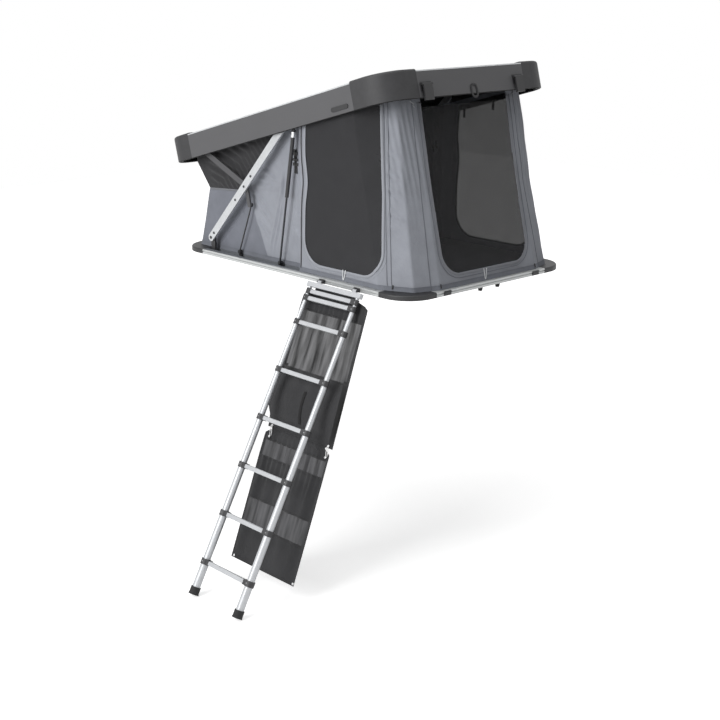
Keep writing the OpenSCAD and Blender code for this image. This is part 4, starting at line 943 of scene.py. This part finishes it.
class TENT_OT_organiser(bpy.types.Operator):
    """Hanging organiser: two gathered cloths with net pockets, hems, eyelets and hooks"""

    bl_idname = "tent.organiser"
    bl_label = "Organiser"

    def execute(self, context):
        cloth = tent_cloth("polyester_black", linear(0x2A2A2C))
        # painted shade: a darker copy of the black cloth for the strips that run back beside the pocket
        painted_shade_cloth = tent_cloth("polyester_black_side", linear(0x161617))
        nets = {
            # painted shade and painted highlight: the last number sets how much lighter and darker the pocket
            # nets' folds are painted
            "upper": insect_net("pocket_net", linear(0x303033), 0.92, (22, 3, 1), 0.85),
            "lower": insect_net("pocket_net_lower", linear(0x3A3A3D), 0.95, (30, 3, 1), 0.6),
        }
        edge = webbing("edge_tape", linear(0x1D1D1F), 0.005)
        eyelet = steel("nickel_eyelet", linear(0xC9C9CA), 0.3)
        hook = steel("plated_hook", linear(0xD6D6D6), 0.32)
        hem = flat_bar(0.012, 0.0022, -0.0008)
        across, outward = (in_organiser([way]) - in_organiser([(0, 0, 0)]) for way in ((1, 0, 0), (0, 1, 0)))
        rows, columns = 140, 110
        for word, panel in PANELS.items():
            u = np.linspace(0, 1, columns + 1)[None]
            v = np.linspace(0, 1, rows + 1)[:, None]
            uv = stack(u * panel["wide"], -v * panel["long"])
            made = put_grid(f"organiser_{word}_cloth", hang(u, v, panel), uv, flip=True)
            # net in the bands, and the upper cloth's strips beside its pocket painted darker as painted shade
            finishes = np.zeros((rows, columns), np.int32)
            middle = (np.arange(rows) + 0.5) / rows
            for first, last in panel["nets"]:
                finishes[(middle > first) & (middle < last), 4:-4] = 1
            if panel["back"]:
                finishes[middle > POCKET_V, :8] = 2
                finishes[middle > POCKET_V, -8:] = 2
            place(made, "ladder_head", [cloth, nets[word], painted_shade_cloth], f"organiser_{word}")
            made.data.polygons.foreach_set("material_index", finishes.ravel())
            w = np.linspace(0, 1, 90)
            for row in np.ravel([(0.0, 1.0)] + panel["nets"]):
                line = hang(w, np.full_like(w, row * 0.985 + 0.007), panel)
                made = put_sweep(f"organiser_{word}_hem_{int(row * 100)}", line, outward, hem)
                place(made, "ladder_head", [edge])
            w = np.linspace(0, 1, 60)
            for end in (0, 1):
                line = hang(np.full_like(w, 0.008 + 0.984 * end), w, panel)
                made = put_sweep(f"organiser_{word}_edge_{end}", line, outward, hem)
                place(made, "ladder_head", [edge])
        # zip slit in the upper cloth
        w = np.linspace(0.70, 0.915, 30)
        line = hang(np.full_like(w, 0.5), w, PANELS["upper"])
        made = put_sweep("organiser_zip", line, outward, flat_bar(0.022, 0.003, 0.0016))
        place(made, "ladder_head", [moulded_nylon("nylon_zip_black", linear(0x060607), 0.9)])
        # wire hooks between the two cloths, from eyelet to eyelet: long ovals
        a = np.linspace(0, 2 * np.pi, 48)
        hook_x, hook_z = 0.25, -0.905
        for end, word in ((-1, "rear"), (1, "front")):
            oval = np.array([0.007, 0.006, 0.034]) * stack(np.cos(a), np.sin(a), np.sin(a))
            ring = in_organiser(np.array([end * hook_x, -0.010, hook_z]) + oval)
            made = put_sweep(f"organiser_hook_{word}", ring, across, round_bar(0.0026))
            place(made, "ladder_head", [hook], "organiser_hooks")
        # eyelets above and below the hooks and at the foot
        spots = ((hook_x, hook_z + 0.033), (hook_x, hook_z - 0.034), (0.27, -1.68))
        centres = in_organiser([(end * x, -0.008, z) for end in (-1, 1) for x, z in spots])
        made = put_discs("organiser_eyelets", centres, outward[0], 0.008, 0.003)
        place(made, "ladder_head", [eyelet])
        return {"FINISHED"}


class TENT_OT_loop(bpy.types.Operator):
    """Pull loop: a flat strap carried round a long rounded loop on the lid's head end"""

    bl_idname = "tent.loop"
    bl_label = "Pull loop"

    def execute(self, context):
        a = np.linspace(0, 2 * np.pi, 96, endpoint=False)
        c, s = np.cos(a), np.sin(a)
        # a rounded oblong 47 mm wide and 71 mm tall on the head end's face, standing off at its foot
        y = 0.0235 * np.sign(c) * np.abs(c) ** 0.8
        w = 0.013 + 0.0355 * np.sign(s) * np.abs(s) ** 0.7
        path = on_lid(-1.063 - 0.0022 - 0.001 * (1 - s), y, w)
        out = np.array([[-math.cos(LID_TILT), 0, math.sin(LID_TILT)]])
        along = unit(np.roll(path, -1, 0) - np.roll(path, 1, 0))
        profile = flat_bar(0.014, 0.003, -0.001)
        points = sweep(path, unit(np.cross(out, along)), out, profile)
        n, m = points.shape[:2]
        faces = grid_faces(n + 1, m, wrap=True, flip=True) % (n * m)
        run = np.cumsum(np.linalg.norm(np.diff(path, axis=0, append=path[:1]), axis=1))
        made = put_mesh("pull_loop_strap", points, faces, stack(profile[None, :, 0], run[:, None]))
        place(made, "lid", [webbing("polyester_webbing", linear(0x222224), 0.004)], "pull_loop")
        return {"FINISHED"}


class TENT_OT_fittings(bpy.types.Operator):
    """Small fittings: sill pulls, skirt ties, strut rings, ladder screws, straps with their buckles"""

    bl_idname = "tent.fittings"
    bl_label = "Small fittings"

    def execute(self, context):
        sizes = context.scene.tent_sizes
        black = moulded_nylon("moulded_nylon_small", linear(0x242426))
        strap = webbing("polyester_strap", linear(0x29292B), 0.004)
        elastic = webbing("elastic_loop", linear(0xB9BBBF), 0.003)
        pull = webbing("pull_tape", linear(0xDCDEE0), 0.003)
        zinc = steel("zinc_screw", linear(0x8A8B8C), 0.4)
        bright = steel("bright_collar", linear(0xDADBDC), 0.3)
        # pale tape loops that hang from the sills: one strand straight, the other slanting to its foot
        t = np.linspace(0, 1, 40)
        z = 0.100 - 0.060 * (1 - np.abs(2 * t - 1) ** 1.5)
        across = np.interp(t, [0, 0.5, 0.62, 1], [-0.0115, 0.008, 0.0115, 0.0115])
        by_door, by_window = side_place(-0.5055 + across, z), rear_place(0.0305 + across, z)
        for word, p, side in (("left", by_door, 1), ("right", by_door, -1), ("rear", by_window, 1)):
            line = wall(p, z, side, 0.0052)
            put_tape(f"sill_pull_{word}", line, flat_bar(0.007, 0.0015), pull)
        # dark ties that hold the skirt down beside the corners
        z = np.linspace(0.064, 0.040, 12)
        beside, behind = side_place(-0.865, z), 0.995
        for n, (p, side) in enumerate(((beside, 1), (beside, -1), (behind, 1), (behind, -1))):
            line = wall(p, z, side, 0.0046)
            put_tape(f"skirt_tie_{n}", line, flat_bar(sizes.tie, 0.0014), strap)
        # screws in the ladder's collars, which are wider the lower they sit
        facing = in_ladder((0, 1, 0)) - in_ladder((0, 0, 0))
        for k in range(1, 9):
            radius = 0.0151 + 0.0017 * k
            sunk = STILE_Y + radius - 0.0006
            centres = in_ladder([(end * STILE_X, sunk, RUNG_Z[k]) for end in (-1, 1)])
            made = put_discs(f"collar_screws_{k}", centres, facing, 0.0042, 0.0016)
            place(made, f"ladder_{k}", [zinc])
        for side, word in SIDES:
            # bright ring near the top of the strut's tube
            top, foot = (np.array([x, STRUT_Y * side, z]) for x, z in STRUT)
            along = unit(foot - top)
            turn = np.linspace(0, 2 * np.pi, 33)[:, None]
            spoke = np.cos(turn) * np.array([0, 1, 0]) + np.sin(turn) * np.cross(along, [0, 1, 0])
            line = top + along * 0.07 + 0.0112 * spoke
            made = put_sweep(f"strut_ring_{word}", line, spoke, flat_bar(0.036, 0.002))
            place(made, "strut_tubes", [bright])
            # strap with a ladder-lock buckle beside the strut
            p = 4.062
            line = wall(p, np.linspace(0.60, 0.745, 30), side, 0.001)
            put_tape(f"side_strap_{word}", line, flat_bar(0.028, 0.002), strap)
            for n, (low, high) in enumerate(((0.646, 0.664), (0.676, 0.690), (0.712, 0.730))):
                line = wall(p, np.linspace(low, high, 6), side, 0.002)
                put_tape(f"side_buckle_{n}_{word}", line, flat_bar(0.048, 0.007), black)
            # pale loops sewn down at the window's upper corners
            t = np.linspace(0, 1, 24)
            y, z = 0.437 - 0.03 * t + 0.006 * np.sin(9 * t), 1.078 - 0.04 * t
            line = wall(rear_place(y, z), z, side, 0.003)
            put_tape(f"window_tie_{word}", line, round_bar(0.0024, 8), elastic)
            # straps for the rolled door, inside at its top edge
            for n, x in enumerate((-0.211, -0.455)):
                z = np.linspace(lid_z(x, -0.055), lid_z(x, 0.004), 12)
                line = wall(side_place(x, z), z, side, -0.009)
                put_tape(f"door_strap_{n}_{word}", line, flat_bar(0.02, 0.002), strap)
        return {"FINISHED"}


class TENT_OT_base(bpy.types.Operator):
    """Finishes of the base: bright rails, black corners with their stops, panel, channels and hinges"""

    bl_idname = "tent.base"
    bl_label = "Base finishes"

    def execute(self, context):
        colours = context.scene.tent_colours
        black = moulded_nylon("moulded_nylon_corner", tuple(colours.moulding))
        anodised = brushed_aluminium("anodised_rail", linear(0xC4C6C6), 0.42, (4, 500, 500))
        dress(anodised, "base_rails", "mount_channels")
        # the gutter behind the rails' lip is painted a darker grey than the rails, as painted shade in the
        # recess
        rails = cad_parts["base_rails"].data
        rails.materials.append(powder_coat("gutter_coat", linear(0x6A6D72), 0.6))
        for face in rails.polygons:
            face.material_index = int(0.5 < abs(face.center.y) < GUTTER_Y)
        dress(black, "base_corners", "latch_keepers")
        # the corner mouldings' stops, which close the ends of the gutters: a plate each
        plate = stack(*np.meshgrid([0.8256, 0.8286], [0.6005, 0.6555], [0.0005, 0.0258], indexing="ij"))
        quads = np.array([[0, 1, 3, 2], [4, 6, 7, 5], [0, 4, 5, 1], [2, 3, 7, 6], [0, 2, 6, 4], [1, 5, 7, 3]])
        for n, (end, side) in enumerate(((1, 1), (1, -1), (-1, 1), (-1, -1))):
            made = put_mesh(f"gutter_stop_{n}", plate * (end, side, 1), quads[:, ::end * side].tolist())
            place(made, "base", [black])
        dress(moulded_nylon("rubber_bumper", linear(0x1E1E1F), 0.8), "bumpers")
        dress(powder_coat("sandwich_panel", linear(0x8F9193), 0.55), "floor_panel")
        dress(powder_coat("black_steel", linear(0x262628), 0.45), "base_brackets", "ladder_hinges")
        return {"FINISHED"}


class TENT_OT_lid(bpy.types.Operator):
    """Finishes of the lid: grey coat, dark corner caps, bright trim, seal and black fittings"""

    bl_idname = "tent.lid"
    bl_label = "Lid finishes"

    def execute(self, context):
        colours = context.scene.tent_colours
        dress(powder_coat("powder_coat_lid", tuple(colours.lid), 0.5), "lid_rails")
        dress(powder_coat("powder_coat_top", linear(0x505052), 0.55), "lid_panel")
        dress(moulded_nylon("moulded_nylon_cap", linear(0x2A2A2C), 0.6), "lid_corners")
        dress(brushed_aluminium("anodised_trim", linear(0xD2D4D6), 0.3, (6, 6, 6)), "lid_trim")
        dress(moulded_nylon("rubber_seal", linear(0x1A1A1B), 0.85), "lid_seal")
        fitting = moulded_nylon("moulded_nylon_fitting", linear(0x1F1F21))
        dress(fitting, "lid_grips", "latch_plates", "latch_left", "latch_right")
        dress(powder_coat("black_steel_hanger", linear(0x2B2B2D), 0.45), "lid_brackets")
        return {"FINISHED"}


class TENT_OT_linkage(bpy.types.Operator):
    """Finishes of the lift linkage: bright arms, dark braces and rods, gas struts"""

    bl_idname = "tent.linkage"
    bl_label = "Linkage finishes"

    def execute(self, context):
        dress(brushed_aluminium("anodised_arm", linear(0xCBCDCF), 0.38, (60, 500, 60)), "lift_arms")
        dress(steel("dark_rivet", linear(0x4A4B4D), 0.4), "arm_rivets")
        dress(moulded_nylon("nylon_glide", linear(0x2A2A2C)), "arm_glides")
        dress(powder_coat("powder_coat_brace", linear(0x4C4C4E), 0.5), "braces")
        dress(powder_coat("black_rod", linear(0x303032), 0.4), "control_rods")
        dress(powder_coat("black_strut_tube", linear(0x2A2A2C), 0.35), "strut_tubes")
        dress(steel("nitrided_rod", linear(0x3C3D3F), 0.3), "strut_rods")
        return {"FINISHED"}


class TENT_OT_ladder(bpy.types.Operator):
    """Finishes of the ladder: anodised stiles and rungs, black collars, rubber feet"""

    bl_idname = "tent.ladder"
    bl_label = "Ladder finishes"

    def execute(self, context):
        tubes = brushed_aluminium("anodised_stile", linear(0xC2C4C7), 0.4, (300, 300, 6))
        dress(tubes, "ladder_head", *[f"ladder_stage_{k}" for k in range(9)])
        collars = moulded_nylon("moulded_nylon_collar", linear(0x2E2E30))
        dress(collars, *[f"ladder_collars_{k}" for k in range(1, 9)])
        dress(moulded_nylon("rubber_foot", linear(0x1C1C1D), 0.8), "ladder_feet")
        return {"FINISHED"}


def shown(tree):
    """1 for rays that show in the picture, straight, mirrored or through glass, else 0."""
    rays = add(tree, "ShaderNodeLightPath").outputs
    share = rays["Is Camera Ray"]
    for key in ("Is Glossy Ray", "Is Transmission Ray"):
        share = add(tree, "ShaderNodeMath", {0: share, 1: rays[key]}, operation="MAXIMUM").outputs["Value"]
    return share


def put_aimed(data, at, way):
    """A lamp or camera at a place, looking along a direction."""
    made = bpy.data.objects.new(data.name, data)
    bpy.context.scene.collection.objects.link(made)
    made.location = at
    pitch = math.atan2(way[2], math.hypot(way[0], way[1]))
    made.rotation_euler = (math.pi / 2 + pitch, 0.0, math.atan2(way[1], way[0]) - math.pi / 2)
    return made


class TENT_OT_stage(bpy.types.Operator):
    """Pale floor, soft studio lamps, white surround and the camera"""

    bl_idname = "tent.stage"
    bl_label = "Studio"

    def execute(self, context):
        scene = context.scene
        reach = np.array([-14.0, 14.0])
        floor = put_grid("studio_floor", stack(reach[None], reach[:, None], CAD_BOX[0][2]))
        material, tree, shader = finish(
            "studio_floor_paint", Roughness=0.9, Base_Color=linear(0xF2F2F2), Emission_Color=(1, 1, 1, 1))
        # the paint fades to white between 3 and 7 m from the middle
        where = add(tree, "ShaderNodeTexCoord").outputs["Object"]
        away = add(tree, "ShaderNodeVectorMath", {0: where}, operation="LENGTH")
        pale = add(tree, "ShaderNodeMapRange", {
            "Value": away.outputs["Value"], "From Min": 3.0, "From Max": 7.0, "To Min": 0.62, "To Max": 1.0})
        glow = add(tree, "ShaderNodeMath", {0: shown(tree), 1: pale.outputs["Result"]}, operation="MULTIPLY")
        tree.links.new(glow.outputs["Value"], shader.inputs["Emission Strength"])
        floor.data.materials.append(material)
        world = bpy.data.worlds.new("studio_surround")
        scene.world = world
        world.use_nodes = True
        tree = world.node_tree
        back = tree.nodes["Background"]
        back.inputs["Color"].default_value = (1, 1, 1, 1)
        level = add(tree, "ShaderNodeMapRange", {"Value": shown(tree), "To Min": 0.19, "To Max": 1.0})
        tree.links.new(level.outputs["Result"], back.inputs["Strength"])
        for name, at, size, power in LAMPS:
            lamp = bpy.data.lights.new(name, "AREA")
            lamp.size = size
            lamp.energy = power
            put_aimed(lamp, at, LAMP_AIM - at)
        lens = bpy.data.cameras.new("photo_camera")
        lens.lens = CAMERA_LENS
        lens.sensor_width = 36.0
        lens.sensor_fit = "HORIZONTAL"
        scene.camera = put_aimed(lens, CAMERA_AT, CAMERA_WAY)
        scene.view_settings.view_transform = "Standard"
        return {"FINISHED"}


class TENT_PT_panel(bpy.types.Panel):
    """Sizes, colours and the steps that make the tent"""

    bl_idname = "TENT_PT_panel"
    bl_label = "Roof top tent"
    bl_space_type = "VIEW_3D"
    bl_region_type = "UI"
    bl_category = "Tent"

    def draw(self, context):
        for group in (context.scene.tent_sizes, context.scene.tent_colours):
            for key in group.__annotations__:
                self.layout.prop(group, key)
        for step in STEPS:
            self.layout.operator(step.bl_idname)


STEPS = (
    TENT_OT_stage, TENT_OT_base, TENT_OT_lid, TENT_OT_linkage, TENT_OT_ladder, TENT_OT_canvas,
    TENT_OT_gusset, TENT_OT_skirt, TENT_OT_nets, TENT_OT_bindings, TENT_OT_mattress,
    TENT_OT_organiser, TENT_OT_loop, TENT_OT_fittings,
)
CLASSES = (TentSizes, TentColours, *STEPS, TENT_PT_panel)


def register():
    """Registers the classes and puts the two groups of properties on the scene."""
    for cls in CLASSES:
        bpy.utils.register_class(cls)
    bpy.types.Scene.tent_sizes = PointerProperty(type=TentSizes)
    bpy.types.Scene.tent_colours = PointerProperty(type=TentColours)


def unregister():
    """Takes the groups and the classes away again."""
    del bpy.types.Scene.tent_colours
    del bpy.types.Scene.tent_sizes
    for cls in reversed(CLASSES):
        bpy.utils.unregister_class(cls)


def main():
    """Makes every piece in order."""
    register()
    for step in STEPS:
        group, name = step.bl_idname.split(".")
        getattr(getattr(bpy.ops, group), name)()
    bpy.context.view_layer.update()


if __name__ == "__main__":
    main()
